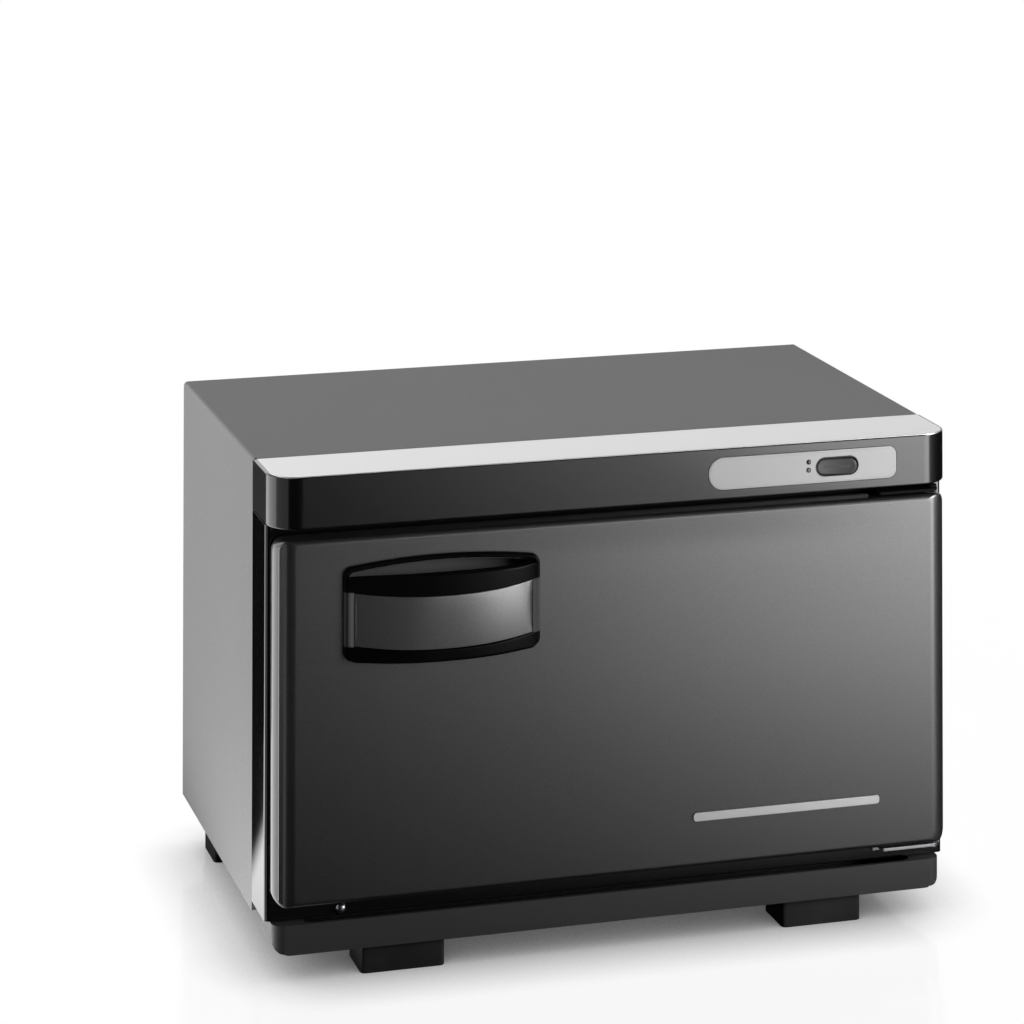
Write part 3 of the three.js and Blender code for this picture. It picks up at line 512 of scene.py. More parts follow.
def lathe_into(bm, profile, origin, axis, seg=32):
    """Turns a (radius, along) profile in mm about an axis through origin. Ends on the axis are closed."""
    ax = Vector(axis).normalized()
    u = ax.orthogonal().normalized()
    v = ax.cross(u)
    o = Vector(origin)
    loops = []
    for r, h in profile:
        r = max(r, 1e-4)
        loops.append([tuple(o + ax * h + (u * math.cos(2 * PI * i / seg) + v * math.sin(2 * PI * i / seg)) * r) for i in range(seg)])
    loft_into(bm, loops, True, True)


def apply_boolean(obj, cutters, op="DIFFERENCE"):
    for c in cutters:
        m = obj.modifiers.new("cut", "BOOLEAN")
        m.operation = op
        m.solver = "EXACT"
        m.object = c
    others = [m for m in obj.modifiers if m.type != "BOOLEAN"]
    for m in others:
        m.show_viewport = False
    dg = bpy.context.evaluated_depsgraph_get()
    me = bpy.data.meshes.new_from_object(obj.evaluated_get(dg))
    for m in list(obj.modifiers):
        if m.type == "BOOLEAN":
            obj.modifiers.remove(m)
        else:
            m.show_viewport = True
    old = obj.data
    obj.data = me
    bpy.data.meshes.remove(old)
    for c in cutters:
        cm = c.data
        bpy.data.objects.remove(c)
        bpy.data.meshes.remove(cm)


def cutter(bm):
    bmesh.ops.remove_doubles(bm, verts=bm.verts, dist=1e-6)
    bmesh.ops.recalc_face_normals(bm, faces=bm.faces)
    me = bpy.data.meshes.new("cutter")
    bm.to_mesh(me)
    bm.free()
    o = bpy.data.objects.new("cutter", me)
    bpy.context.scene.collection.objects.link(o)
    return o


def prism_cutter(points, y0, y1):
    """Outline in (x, z) swept from y0 to y1."""
    bm = bmesh.new()
    loft_into(bm, [[(x, y0, z) for x, z in points], [(x, y1, z) for x, z in points]])
    return cutter(bm)


def build_obj(name, bm, mat):
    """A plain object, used before booleans; settle() attaches it and hides the parts it replaces after."""
    bmesh.ops.remove_doubles(bm, verts=bm.verts, dist=2e-6)
    bmesh.ops.recalc_face_normals(bm, faces=bm.faces)
    me = bpy.data.meshes.new(name)
    bm.to_mesh(me)
    bm.free()
    o = bpy.data.objects.new(name, me)
    bpy.context.scene.collection.objects.link(o)
    me.materials.append(MAT[mat])
    return o


def settle(obj, body, replaces=(), angle=32.0):
    mats = list(obj.data.materials)
    finish_mesh(obj, mats[0] if mats else "gloss_black", angle)
    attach(obj, body)
    if replaces:
        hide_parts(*replaces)
    return obj


def refine(node, width, seg=3, mat=None, body=None, angle=30.0, name=None, pick=None, subdiv=0):
    """A finer mesh on the CAD solid: coplanar triangles joined, then the edges eased."""
    src = NODES[node]
    bm = bmesh.new()
    bm.from_mesh(src.data)
    bmesh.ops.remove_doubles(bm, verts=bm.verts, dist=1e-5)
    bmesh.ops.dissolve_limit(bm, angle_limit=math.radians(0.6), verts=bm.verts, edges=bm.edges)
    sharp = [e for e in bm.edges if len(e.link_faces) == 2 and e.calc_face_angle(0.0) > math.radians(angle) and (pick is None or pick(e))]
    if sharp and width:
        bmesh.ops.bevel(bm, geom=sharp, offset=width * MM, segments=seg, profile=0.5, affect="EDGES", clamp_overlap=True, miter_outer="SHARP")
    return add_object(name or node + "_fine", bm, mat or slot_mat[node], body or src["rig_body"], (node,))


slots = {s["node"]: s["material_slot"] for s in frame["record"]["subparts"]}
slot_mat = {n: MAT[s] for n, s in slots.items()}
slot_mat["front_frame"] = MAT["frame_gloss"]
slot_mat["drip_tray"] = MAT["tray_black"]
# painted shade: the top hinge bracket and pin, zinc in their slots, are drawn near-black so they read as the dark gap
# under the head
slot_mat["hinge_bracket_top"] = slot_mat["hinge_pin_top"] = MAT["painted_shade_black"]

# ---------------------------------------------------------------- measures, from the frame
(dx0, dy0, dz0), (dx1, dy1, dz1) = box_mm("door_shell")
(hx0, hy0, hz0), (hx1, hy1, hz1) = box_mm("control_head")
(sx0, sy0, sz0), (sx1, sy1, sz1) = box_mm("outer_shell")
F = dy0  # front plane
HINGE = [v * 1000 for v in next(j for j in frame["joints"] if j["name"] == "door_hinge")["pos_m"]]
ROCK = [v * 1000 for v in next(j for j in frame["joints"] if j["name"] == "rocker_tilt")["pos_m"]]


# ---------------------------------------------------------------- door
def arched(cx, half, top, bottom, rise_top, rise_bottom, r, seg=40, nc=8):
    """Outline of the pull on the door, counter-clockwise: long edges bow outwards, corners are round."""
    pts = []
    e = half - r

    def bow(u):
        return 1 - (u * (1 - r / half)) ** 2

    for i in range(seg + 1):
        u = -1 + 2 * i / seg
        pts.append((cx + e * u, bottom - rise_bottom * bow(u)))
    y_b, y_t = bottom - rise_bottom * bow(1), top + rise_top * bow(1)
    for i in range(1, nc):
        a = -PI / 2 + (PI / 2) * i / nc
        pts.append((cx + e + r * math.cos(a), y_b + r + r * math.sin(a)))
    ns = 12
    for i in range(ns + 1):
        pts.append((cx + half, y_b + r + (y_t - y_b - 2 * r) * i / ns))
    for i in range(1, nc):
        a = (PI / 2) * i / nc
        pts.append((cx + e + r * math.cos(a), y_t - r + r * math.sin(a)))
    for i in range(seg + 1):
        u = 1 - 2 * i / seg
        pts.append((cx + e * u, top + rise_top * bow(u)))
    for i in range(1, nc):
        a = PI / 2 + (PI / 2) * i / nc
        pts.append((cx - e + r * math.cos(a), y_t - r + r * math.sin(a)))
    for i in range(ns + 1):
        pts.append((cx - half, y_t - r - (y_t - y_b - 2 * r) * i / ns))
    for i in range(1, nc):
        a = PI + (PI / 2) * i / nc
        pts.append((cx - e + r * math.cos(a), y_b + r + r * math.sin(a)))
    return pts




def door_shell():
    R, T = 13.0, 3.2
    nc, ns = 14, 24
    outer, nor = rrect(dx0, dx1, dz0, dz1, 8, nc, ns)
    inner, _ = rrect(dx0 + R, dx1 - R, dz0 + T, dz1 - T, 3.2, nc, ns)
    dep = [R * n[0] ** 2 + T * (1 - n[0] ** 2) for n in nor]
    loops = []
    K = 14
    for k in range(K, -1, -1):
        s = (PI / 2) * k / K
        c, d = 1 - math.cos(s), 1 - math.sin(s)
        loops.append([(o[0] + (i[0] - o[0]) * c, F + h * d, o[1] + (i[1] - o[1]) * c) for o, i, h in zip(outer, inner, dep)])

    def back(y_left, y_right, in_left, in_right):
        out = []
        for p, n in zip(outer, nor):
            right = max(0.0, n[0]) ** 2
            y = y_left + (y_right - y_left) * right
            ins = in_left + (in_right - in_left) * right
            out.append((p[0] - n[0] * ins, y, p[1] - n[1] * ins))
        return out

    loops.append(back(dy1 - 0.9, dy1 - 2.85, 0, 0))
    loops.append(back(dy1 - 0.55, dy1 - 2.75, 0.06, 0.2))
    loops.append(back(dy1 - 0.15, dy1 - 0.3, 0.4, 2.9))
    loops.append(back(dy1, dy1, 0.9, 3.4))
    rim, _ = rrect(dx0 + 2.6, dx1 - 17, dz0 + 2.6, dz1 - 2.6, 3, nc, ns)
    loops.append([(x, dy1, z) for x, z in rim])
    loops.append([(x, F + 2.6, z) for x, z in rim])
    bm = bmesh.new()
    loft_into(bm, loops)
    o = build_obj("door_skin", bm, "door_gloss")
    cuts = [prism_cutter(arched(PX, 60.5, 253, 201.2, 4.4, 1.3, 5), F - 4, F + 6)]
    for z0, z1 in ((dz0 - 3, dz0 + 12.4), (dz1 - 12.4, dz1 + 3)):
        bmc = bmesh.new()
        lathe_into(bmc, [(4.6, z0), (4.6, z1)], (HINGE[0], HINGE[1], 0), (0, 0, 1), 40)
        cuts.append(cutter(bmc))
    apply_boolean(o, cuts)
    settle(o, "door", ("door_shell",), 28)


door_shell()


def bezel():
    """Raised black rim round the mouth of the pull, lining the hole in the door."""
    def ol(half, top, bottom, r):
        return arched(PX, half, top, bottom, 4.5, 1.35, r)
    H, T, B = 63, 255.6, 198.6
    rows = []

    def row(inset, y, r):
        rows.append([(x, y, z) for x, z in ol(H - inset, T - inset, B + inset, r)])
    row(0.25, F - 0.3, 5.9)
    row(0.0, F - 0.6, 6.0)
    row(0.0, F - 1.5, 6.0)
    for k in range(1, 6):
        a = (PI / 2) * k / 5
        row(1.4 * (1 - math.cos(a)), F - 1.5 - 1.5 * math.sin(a), 6.0 - 1.0 * (1 - math.cos(a)))
    row(1.7, F - 3.0, 4.95)
    for k in range(1, 6):
        a = (PI / 2) * k / 5
        row(1.7 + 1.3 * math.sin(a), F - 3.0 + 1.3 * (1 - math.cos(a)), 4.9 - 0.5 * math.sin(a))
    row(3.2, F + 2.7, 4.5)
    row(3.1, F + 3.0, 4.5)
    row(2.65, F + 3.0, 4.7)
    row(2.65, F - 0.3, 4.7)
    rows.append(rows[0])
    bm = bmesh.new()
    loft_into(bm, rows, False, False)
    add_object("pull_bezel", bm, "pull_black", "door", ("handle_bezel",), 50)


bezel()


def cup():
    """Finger cup behind the door's face, with a dished floor."""
    def ol(inset, r):
        return arched(PX, 60 - inset, 252.6 - inset, 201.7 + inset, 4.4, 1.3, max(0.8, r))
    rows = []

    def row(pts, y):
        rows.append([(x, y, z) for x, z in pts])
    flange = arched(PX, 64, 256.5, 197.7, 4.6, 1.4, 6)
    row(flange, F + 3.3)
    row(ol(1.4, 4.2), F + 3.3)
    row(ol(1.4, 4.2), F + 7.2)
    for k in range(1, 9):
        a = (PI / 2) * k / 8
        row(ol(1.4 + 4.0 * (1 - math.cos(a)), 4.2), F + 7.2 + 4.2 * math.sin(a))
    row(ol(9, 3.2), F + 11.55)
    inner_floor = len(rows)
    bm = bmesh.new()
    loft_into(bm, rows, False, True)
    rows2 = []

    def row2(pts, y):
        rows2.append([(x, y, z) for x, z in pts])
    row2(flange, F + 3.3)
    row2(flange, F + 5.0)
    row2(ol(0, 5), F + 5.0)
    row2(ol(0, 5), F + 12.0)
    row2(ol(0.9, 4.6), F + 12.8)
    loft_into(bm, rows2, False, True)
    # the cup's grey is painted light, not its own colour
    add_object("pull_cup", bm, "cup_painted_light_grey", "door", ("handle_cup",), 50)


cup()

PULL_HALF, PULL_DEPTH = 61.5, 11.4
PULL_BACK = F - 3.3
SEAT_HALF = 57.4


def bulge(x):
    u = min(1.0, abs((x - PX) / PULL_HALF))
    return PULL_DEPTH * (1 - u ** 2.4) ** 0.9


def recess(x):
    """Depth of the insert's face below the grip, and depth of its seat."""
    b = bulge(x)
    return min(0.6, b * 0.15), min(1.7, b * 0.45)


def pull_z(x):
    """Lower edge, seat bottom, seat top and upper edge of the pull at x."""
    u = (x - PX) / PULL_HALF
    v = (x - PX) / SEAT_HALF
    return 197.2 + 1.5 * u * u, 208.3 - 3.4 * (1 - v * v), 241.3 - 3.2 * (1 - v * v), 252.0 - 0.9 * u * u


def pull():
    bm = bmesh.new()
    seat_half = SEAT_HALF
    xs = []
    n_mid = 72
    for i in range(n_mid + 1):
        xs.append((PX - seat_half + 2 * seat_half * i / n_mid, True))
    left = [PX - PULL_HALF * 0.992 + (PULL_HALF * 0.992 - seat_half) * i / 14 for i in range(15)]
    left = [(x, False) for x in left]
    right = [(2 * PX - x, False) for x, _ in reversed(left)]
    stations = left + xs + right

    def section(x, seat):
        b = max(0.35, bulge(x))
        z0, s0, s1, z1 = pull_z(x)
        d = abs(x - PX) - (PULL_HALF * 0.992 - 5.0)
        if d > 0:
            z0 += 5.0 - math.sqrt(max(0.0, 25.0 - d * d))
        yb, yf = PULL_BACK, PULL_BACK - b
        rf = min(2.4, b * 0.55)
        rt = min(2.2, b * 0.4)
        wall = min(4.3, b * 0.62)
        sd = recess(x)[1] if seat else 0.0
        p = [(yb, z0 + 1.2), (yb, z0 + 0.4), (yb - min(0.5, b * 0.2), z0)]
        for k in range(9):
            a = (PI / 2) * k / 8
            p.append((yf + rf - rf * math.sin(a), z0 + rf - rf * math.cos(a)))
        e = 0.45 if seat else 0.0
        p += [(yf, s0 - 1.6 * (1 if seat else 1)), (yf, s0 - e)]
        p += [(yf + e * 0.3, s0 - e * 0.3), (yf + max(e, 0), s0)] if seat else [(yf, s0), (yf, s0 + 0.01)]
        p += [(yf + sd, s0 + 0.02), (yf + sd, s1 - 0.02)]
        p += [(yf + e, s1), (yf + e * 0.3, s1 + e * 0.3), (yf, s1 + e)] if seat else [(yf, s1), (yf, s1 + 0.01), (yf, s1 + 0.02)]
        for k in range(9):
            a = (PI / 2) * k / 8
            p.append((yf + rt - rt * math.cos(a), z1 - rt + rt * math.sin(a)))
        ri = min(1.2, wall * 0.28)
        for k in range(6):
            a = (PI / 2) * k / 5
            p.append((yf + wall - ri + ri * math.sin(a), z1 - ri + ri * math.cos(a)))
        rz = min(2.5, max(0.02, (b - wall) * 0.5))
        p.append((yf + wall, 204.5))
        for k in range(5):
            a = (PI / 2) * k / 4
            p.append((yf + wall + rz - rz * math.cos(a), 201 + rz - rz * math.sin(a)))
        p.append((yb, 201))
        return [(x, y, z) for y, z in p]

    loops = []
    for i, (x, seat) in enumerate(stations):
        loops.append(section(x, seat))
    loft_into(bm, loops)
    o = add_object("pull_body", bm, "pull_black", "door", ("handle_pull",), 38)
    return o


pull()


def insert():
    """Smoked face plate of the pull, let in flush at its edges and slightly crowned from top to bottom."""
    bm = bmesh.new()
    half = SEAT_HALF - 0.35
    loops = []
    n = 96
    for i in range(n + 1):
        x = PX - half + 2 * half * i / n
        edge = min(x - (PX - half), (PX + half) - x)
        fall = 0.0 if edge > 0.9 else 0.45 * (1 - math.sqrt(max(0.0, 1 - (1 - edge / 0.9) ** 2)))
        sunk, deep = recess(x)
        yf = PULL_BACK - bulge(x) + sunk + fall * 0.4
        yb = PULL_BACK - bulge(x) + deep - 0.06
        er = min(0.5, (yb - yf) * 0.6)
        crown = min(0.55, bulge(x) * 0.2) * min(1.0, 0.15 + edge / 5.0)
        _, s0, s1, _ = pull_z(x)
        s0, s1 = s0 + 0.35, s1 - 0.35
        p = [(yb, s0 + 0.05), (yf + er, s0)]
        for k in range(1, 5):
            a = (PI / 2) * k / 4
            p.append((yf + er - er * math.sin(a), s0 + er - er * math.cos(a)))
        for k in range(1, 20):
            w_ = 2 * k / 20 - 1
            p.append((yf - crown * (1 - w_ * w_), s0 + er + (s1 - s0 - 2 * er) * k / 20))
        for k in range(0, 5):
            a = (PI / 2) * k / 4
            p.append((yf + er - er * math.cos(a), s1 - er + er * math.sin(a)))
        p.append((yb, s1 - 0.05))
        loops.append([(x, y, z) for y, z in p])
    loft_into(bm, loops)
    add_object("pull_insert", bm, "smoked_insert", "door", ("handle_insert",), 60)


insert()


def badge():
    """Slim satin bar with rounded ends."""
    (x0, y0, z0), (x1, y1, z1) = box_mm("door_badge")
    bm = bmesh.new()
    pts, _ = rrect(x0, x1, z0, z1, 2.0, 8, 4)
    inn, _ = rrect(x0 + 0.35, x1 - 0.35, z0 + 0.35, z1 - 0.35, 1.65, 8, 4)
    loft_into(bm, [[(x, y1, z) for x, z in pts], [(x, y0 + 0.3, z) for x, z in pts], [(x, y0 + 0.08, z) for x, z in rrect(x0 + 0.1, x1 - 0.1, z0 + 0.1, z1 - 0.1, 1.9, 8, 4)[0]], [(x, y0, z) for x, z in inn]])
    add_object("door_badge_plate", bm, "badge_silver", "door", ("door_badge",), 40)


badge()


def door_back():
    """Inner door panel: flat flange and a raised plug with soft edges and a shallow sunk centre."""
    (x0, y0, z0), (x1, y1, z1) = box_mm("door_liner")
    bm = bmesh.new()
    nc, ns = 8, 16
    fl = lambda i, r: rrect(x0 + i, x1 - i, z0 + i, z1 - i, r, nc, ns)[0]
    pl = lambda i, r: rrect(-180 + i, 180 - i, 70 + i, 256 - i, r, nc, ns)[0]
    rows = [([*fl(0.5, 2)], y0), ([*fl(0, 2.5)], y0 + 0.5), ([*fl(0, 2.5)], y0 + 1.4), ([*fl(0.5, 2)], y0 + 1.9)]
    back = y0 + 1.9
    rows += [(pl(-3.0, 9), back), (pl(-1.2, 8), back + 0.5), (pl(-0.2, 7), back + 1.8)]
    rows += [(pl(0, 7), back + 3.0), (pl(0.3, 7), y1 - 4.2)]
    for k in range(1, 8):
        a = (PI / 2) * k / 7
        rows.append((pl(0.3 + 4 * (1 - math.cos(a)), 7), y1 - 4.2 + 4.2 * math.sin(a)))
    rows += [(pl(17, 6), y1), (pl(18, 6), y1 - 0.4), (pl(19.5, 6), y1 - 1.5), (pl(21, 6), y1 - 1.8)]
    loops = [[(x, y, z) for x, z in p] for p, y in rows]
    loft_into(bm, loops, False, True)
    # the side towards the foam
    rows = [(fl(0.5, 2), y0), (pl(1.6, 6), y0), (pl(1.6, 6), y1 - 3.6), (pl(5, 5), y1 - 3.4)]
    loft_into(bm, [[(x, y, z) for x, z in p] for p, y in rows], False, True)
    o = add_object("door_back_panel", bm, "liner_white", "door", ("door_liner",), 40)


door_back()


def gasket():
    """Hollow-bulb door seal, drawn as a round-topped ring on its flat foot."""
    (x0, y0, z0), (x1, y1, z1) = box_mm("door_gasket")
    w = 5.5
    nc, ns = 10, 16
    prof = [(0.2, 0.0), (0.0, 0.35), (0.5, 0.8)]
    for k in range(9):
        a = PI * k / 8
        prof.append((w / 2 - 2.0 * math.cos(a), 0.9 + 1.65 * math.sin(a)))
    prof += [(w - 0.5, 0.8), (w, 0.35), (w - 0.2, 0.0)]
    loops = [[(x, y0 + h, z) for x, z in rrect(x0 + i, x1 - i, z0 + i, z1 - i, 8 - i, nc, ns)[0]] for i, h in prof]
    loops.append(loops[0])
    bm = bmesh.new()
    loft_into(bm, loops, False, False)
    add_object("door_seal", bm, "silicone", "door", ("door_gasket",), 50)


gasket()


# ---------------------------------------------------------------- control head
def head():
    R = 20.0
    z0, z1 = hz0, hz1
    nc, ns = 22, 10

    def plan(inset):
        pts, _ = rrect(hx0 + inset, hx1 - inset, hy0 + inset, hy1, (R - inset, R - inset, 0.01, 0.01), nc, ns)
        return pts
    loops = []
    f = 1.3
    for k in range(7):
        a = (PI / 2) * k / 6
        loops.append([(x, y, z0 + f - f * math.sin(a)) for x, y in plan(f * (1 - math.cos(a)))][::1])
    loops = loops[::-1]
    f2 = 0.9
    for k in range(7):
        a = (PI / 2) * k / 6
        loops.append([(x, y, z1 - f2 + f2 * math.sin(a)) for x, y in plan(f2 * (1 - math.cos(a)))])
    bm = bmesh.new()
    loft_into(bm, loops)
    o = build_obj("head_moulding", bm, "fascia_gloss")
    (tx0, ty0, tz0), (tx1, ty1, tz1) = box_mm("head_trim")
    bmc = bmesh.new()
    pts = rrect(tx0 - 0.15, tx1 + 0.15, ty0 - 0.15, ty1 + 0.2, (16.1, 16.1, 0.01, 0.01), 18, 6)[0]
    loft_into(bmc, [[(x, y, tz0 - 0.05) for x, y in pts], [(x, y, z1 + 2) for x, y in pts]])
    trim_seat = cutter(bmc)
    bmc = bmesh.new()
    box_into(bmc, hx0 - 2, hx1 + 2, ty1 - 0.05, hy1 + 3, tz0 - 0.05, z1 + 2)
    lap_seat = cutter(bmc)
    (px0, py0, pz0), (px1, py1, pz1) = box_mm("control_plate")
    seat = rrect(px0 - 0.3, px1 + 0.3, pz0 - 0.3, pz1 + 0.3, (10.3, 6, 6, 10.3), 14, 6)[0]
    win = rrect(ROCK[0] - 15, ROCK[0] + 15, ROCK[2] - 6.5, ROCK[2] + 6.5, 6.4, 14, 4)[0]
    cuts = [prism_cutter(seat, F - 3, F + 0.8), prism_cutter(win, F - 3, F + 14), trim_seat, lap_seat]
    apply_boolean(o, cuts)
    settle(o, "cabinet", ("control_head",), 28)


head()


def head_strip():
    (x0, y0, z0), (x1, y1, z1) = box_mm("head_trim")
    nc, ns = 18, 8

    def plan(i):
        return rrect(x0 + i, x1 - i, y0 + i, y1 - i * 0.5, (16 - i, 16 - i, 0.01, 0.01), nc, ns)[0]
    rows = [(plan(0), z0), (plan(0), z1 - 0.35), (plan(0.1), z1 - 0.1), (plan(0.35), z1)]
    bm = bmesh.new()
    loft_into(bm, [[(x, y, z) for x, y in p] for p, z in rows])
    add_object("head_strip", bm, "silver_trim", "cabinet", ("head_trim",), 50)


head_strip()


def plate():
    (x0, y0, z0), (x1, y1, z1) = box_mm("control_plate")
    nc, ns = 14, 6

    def ol(i):
        return rrect(x0 + i, x1 - i, z0 + i, z1 - i, (10 - i, 5.7 - i, 5.7 - i, 10 - i), nc, ns)[0]
    rows = [(ol(0), y1), (ol(0), y0 + 0.25), (ol(0.08), y0 + 0.08), (ol(0.25), y0), (ol(0.95), y0), (ol(1.0), y0 + 0.09), (ol(1.25), y0 + 0.09), (ol(1.3), y0)]
    bm = bmesh.new()
    loft_into(bm, [[(x, y, z) for x, z in p] for p, y in rows])
    o = build_obj("control_plate_fine", bm, "silver_plate")
    win = rrect(ROCK[0] - 14.75, ROCK[0] + 14.75, ROCK[2] - 6.25, ROCK[2] + 6.25, 6.2, 14, 4)[0]
    cuts = [prism_cutter(win, F - 3, F + 3)]
    for n in ("lamp_heat", "lamp_power"):
        lo, hi = box_mm(n)
        bmc = bmesh.new()
        lathe_into(bmc, [(1.65, F - 3), (1.65, F + 3)], ((lo[0] + hi[0]) / 2, 0, (lo[2] + hi[2]) / 2), (0, 1, 0), 28)
        cuts.append(cutter(bmc))
    apply_boolean(o, cuts)
    settle(o, "cabinet", ("control_plate",), 28)
    # dark escutcheon round the rocker
    bm = bmesh.new()
    w2 = lambda i: rrect(ROCK[0] - 14.7 + i, ROCK[0] + 14.7 - i, ROCK[2] - 6.2 + i, ROCK[2] + 6.2 - i, 6.15 - i, 14, 4)[0]
    rows = [(w2(0), F + 0.5), (w2(0), F - 0.45), (w2(0.15), F - 0.6), (w2(0.45), F - 0.6), (w2(0.6), F - 0.45), (w2(0.6), F + 8), (w2(0), F + 8), (w2(0), F + 0.5)]
    loft_into(bm, [[(x, y, z) for x, z in p] for p, y in rows], False, False)
    add_object("rocker_surround", bm, "button_grey", "cabinet", (), 40)


plate()


def rocker():
    """Stadium cap with a shallow dished face, tipped on its cross pin."""
    tilt = math.radians(-6)
    nc, ns = 16, 10
    bm = bmesh.new()
    L, Hh = 13.75, 5.4

    def face(i):
        return rrect(-L + i, L - i, -Hh + i, Hh - i, max(0.3, Hh - 0.1 - i), nc, ns)[0]

    def crown(x, z):
        return -8.0 + 1.15 * (1 - (x / L) ** 2) * (1 - 0.45 * (z / Hh) ** 2)
    rows = []
    rows.append([(x, 3.0, z) for x, z in face(0.9)])
    rows.append([(x, -3.0, z) for x, z in face(0.25)])
    for k in range(1, 8):
        a = (PI / 2) * k / 7
        p = face(0.25 + 1.3 * (1 - math.cos(a)))
        rows.append([(x, crown(x, z) + 1.3 * (1 - math.sin(a)), z) for x, z in p])
    for i in (2.1, 2.8, 3.6, 4.4, 5.0):
        rows.append([(x, crown(x, z), z) for x, z in face(i)])
    out = []
    for row in rows:
        out.append([(ROCK[0] + x * math.cos(tilt) - y * math.sin(tilt), ROCK[1] + x * math.sin(tilt) + y * math.cos(tilt), ROCK[2] + z) for x, y, z in row])
    loft_into(bm, out)
    add_object("rocker_cap", bm, "button_grey", "rocker", ("rocker_button",), 50)


rocker()


def lamps():
    for n, m in (("lamp_heat", "lamp_dark"), ("lamp_power", "lamp_grey")):
        lo, hi = box_mm(n)
        cx, cz = (lo[0] + hi[0]) / 2, (lo[2] + hi[2]) / 2
        bm = bmesh.new()
        tip = lo[1]
        prof = [(0.0, tip), (0.35, tip + 0.04), (0.7, tip + 0.16), (1.0, tip + 0.36), (1.22, tip + 0.66), (1.33, tip + 1.05), (1.35, tip + 1.5), (1.35, hi[1]), (0.0, hi[1])]
        lathe_into(bm, prof, (cx, 0, cz), (0, 1, 0), 28)
        add_object(n + "_lens", bm, m, "cabinet", (n,), 50)


lamps()


# ---------------------------------------------------------------- steel case
def shell():
    """Folded wrap: outer radius 3 mm at the top folds, turned-in lips, and a lap of the top onto the head."""
    sy0 = box_mm("front_frame")[1][1] + 0.3
    t = 1.0
    def outline(r_out, inset):
        pts = []
        x0, x1, z0, z1 = sx0 + inset, sx1 - inset, sz0, sz1 - inset
        pts.append((x0, z0))
        for k in range(13):
            a = PI - (PI / 2) * k / 12
            pts.append((x0 + r_out + r_out * math.cos(a), z1 - r_out + r_out * math.sin(a)))
        for k in range(13):
            a = PI / 2 - (PI / 2) * k / 12
            pts.append((x1 - r_out + r_out * math.cos(a), z1 - r_out + r_out * math.sin(a)))
        pts.append((x1, z0))
        return pts
    bm = bmesh.new()
    o0 = outline(3.0, 0)
    i0 = outline(2.0, t)

    def ring(y, e):
        a = outline(3.0 - e, e)
        b = outline(2.0 + e, t - e)
        a[0] = (a[0][0], sz0 + e); a[-1] = (a[-1][0], sz0 + e)
        b[0] = (b[0][0], sz0 + e); b[-1] = (b[-1][0], sz0 + e)
        return [(x, y, z) for x, z in a] + [(x, y, z) for x, z in reversed(b)]
    loops = [ring(sy0, 0.32), ring(sy0 + 0.1, 0.1), ring(sy0 + 0.32, 0), ring(sy1 - 0.32, 0), ring(sy1 - 0.1, 0.1), ring(sy1, 0.32)]
    loft_into(bm, loops)
    for (x0, x1, z0, z1) in ((sx0 + 0.6, sx0 + 9, sz0, sz1 - 2), (sx1 - 9, sx1 - 0.6, sz0, sz1 - 2), (sx0 + 1, sx1 - 1, sz1 - 9, sz1 - 0.6)):
        box_into(bm, x0, x1, sy0 + 0.02, sy0 + 1, z0, z1, 0.2)
    for s in (-1, 1):
        a, b = sorted((s * (sx1 - 0.6), s * (sx1 - 13)))
        box_into(bm, a, b, sy0, sy1 - 4, sz0, sz0 + 1, 0.2)
    box_into(bm, sx0 + 2.5, sx1 - 2.5, box_mm("outer_shell")[0][1], sy0 + 0.4, sz1 - 0.95, sz1, 0.25, 3)
    add_object("case_wrap", bm, "steel_grey", "cabinet", ("outer_shell",), 40)


shell()

for node, width, seg in (
    ("front_frame", 0.5, 3), ("drip_tray", 0.8, 4), ("base_pan", 0.3, 2), ("rear_panel", 0.22, 2),
    ("foot_front_left", 1.2, 4), ("foot_front_right", 1.2, 4), ("foot_rear_left", 1.2, 4), ("foot_rear_right", 1.2, 4),
    ("hinge_bracket_bottom", 0.3, 2), ("hinge_bracket_top", 0.3, 2), ("catch_striker", 0.3, 2), ("catch_magnet", 0.5, 3),
    ("mains_plug", 0.9, 3), ("switch_body", 0.4, 2), ("terminal_block", 0.5, 2), ("thermostat", 0.3, 2),
    ("rack_rail_left", 0.2, 2), ("rack_rail_right", 0.2, 2), ("heater_plate", 0.3, 2), ("chamber_wrap", 0.2, 2), ("chamber_back", 0.2, 2),
    ("insulation_top", 4, 4), ("insulation_left", 4, 4), ("insulation_right", 4, 4), ("insulation_back", 4, 4), ("insulation_floor", 4, 4),
    ("door_insulation", 2, 3), ("indicator_board", 0.15, 1),
):
    refine(node, width, seg)

def tube_into(bm, pts, r, seg=16, closed=False):
    """Round wire swept along a polyline in mm, with domed ends when open."""
    P = [Vector(p) for p in pts]
    n = len(P)
    loops = []
    up = None
    for i in range(n):
        a = P[(i - 1) % n] if (closed or i > 0) else P[0]
        b = P[(i + 1) % n] if (closed or i < n - 1) else P[-1]
        t = (b - a).normalized()
        if up is None:
            up = t.orthogonal().normalized()
        up = (up - t * up.dot(t)).normalized()
        side = t.cross(up)
        ring = [tuple(P[i] + (up * math.cos(2 * PI * k / seg) + side * math.sin(2 * PI * k / seg)) * r) for k in range(seg)]
        loops.append((ring, t, up, side))
    rings = [q[0] for q in loops]
    if closed:
        rings.append(rings[0])
        loft_into(bm, rings, False, False)
        return
    head, tail = [], []
    for f, h in ((0.25, 0.97), (0.6, 0.8), (0.85, 0.53)):
        for (ring, t, u, sd), out, sign, base in ((loops[0], head, -1, P[0]), (loops[-1], tail, 1, P[-1])):
            out.append([tuple(base + t * (sign * r * f) + (u * math.cos(2 * PI * k / seg) + sd * math.sin(2 * PI * k / seg)) * (r * h)) for k in range(seg)])
    loft_into(bm, head[::-1] + rings + tail)


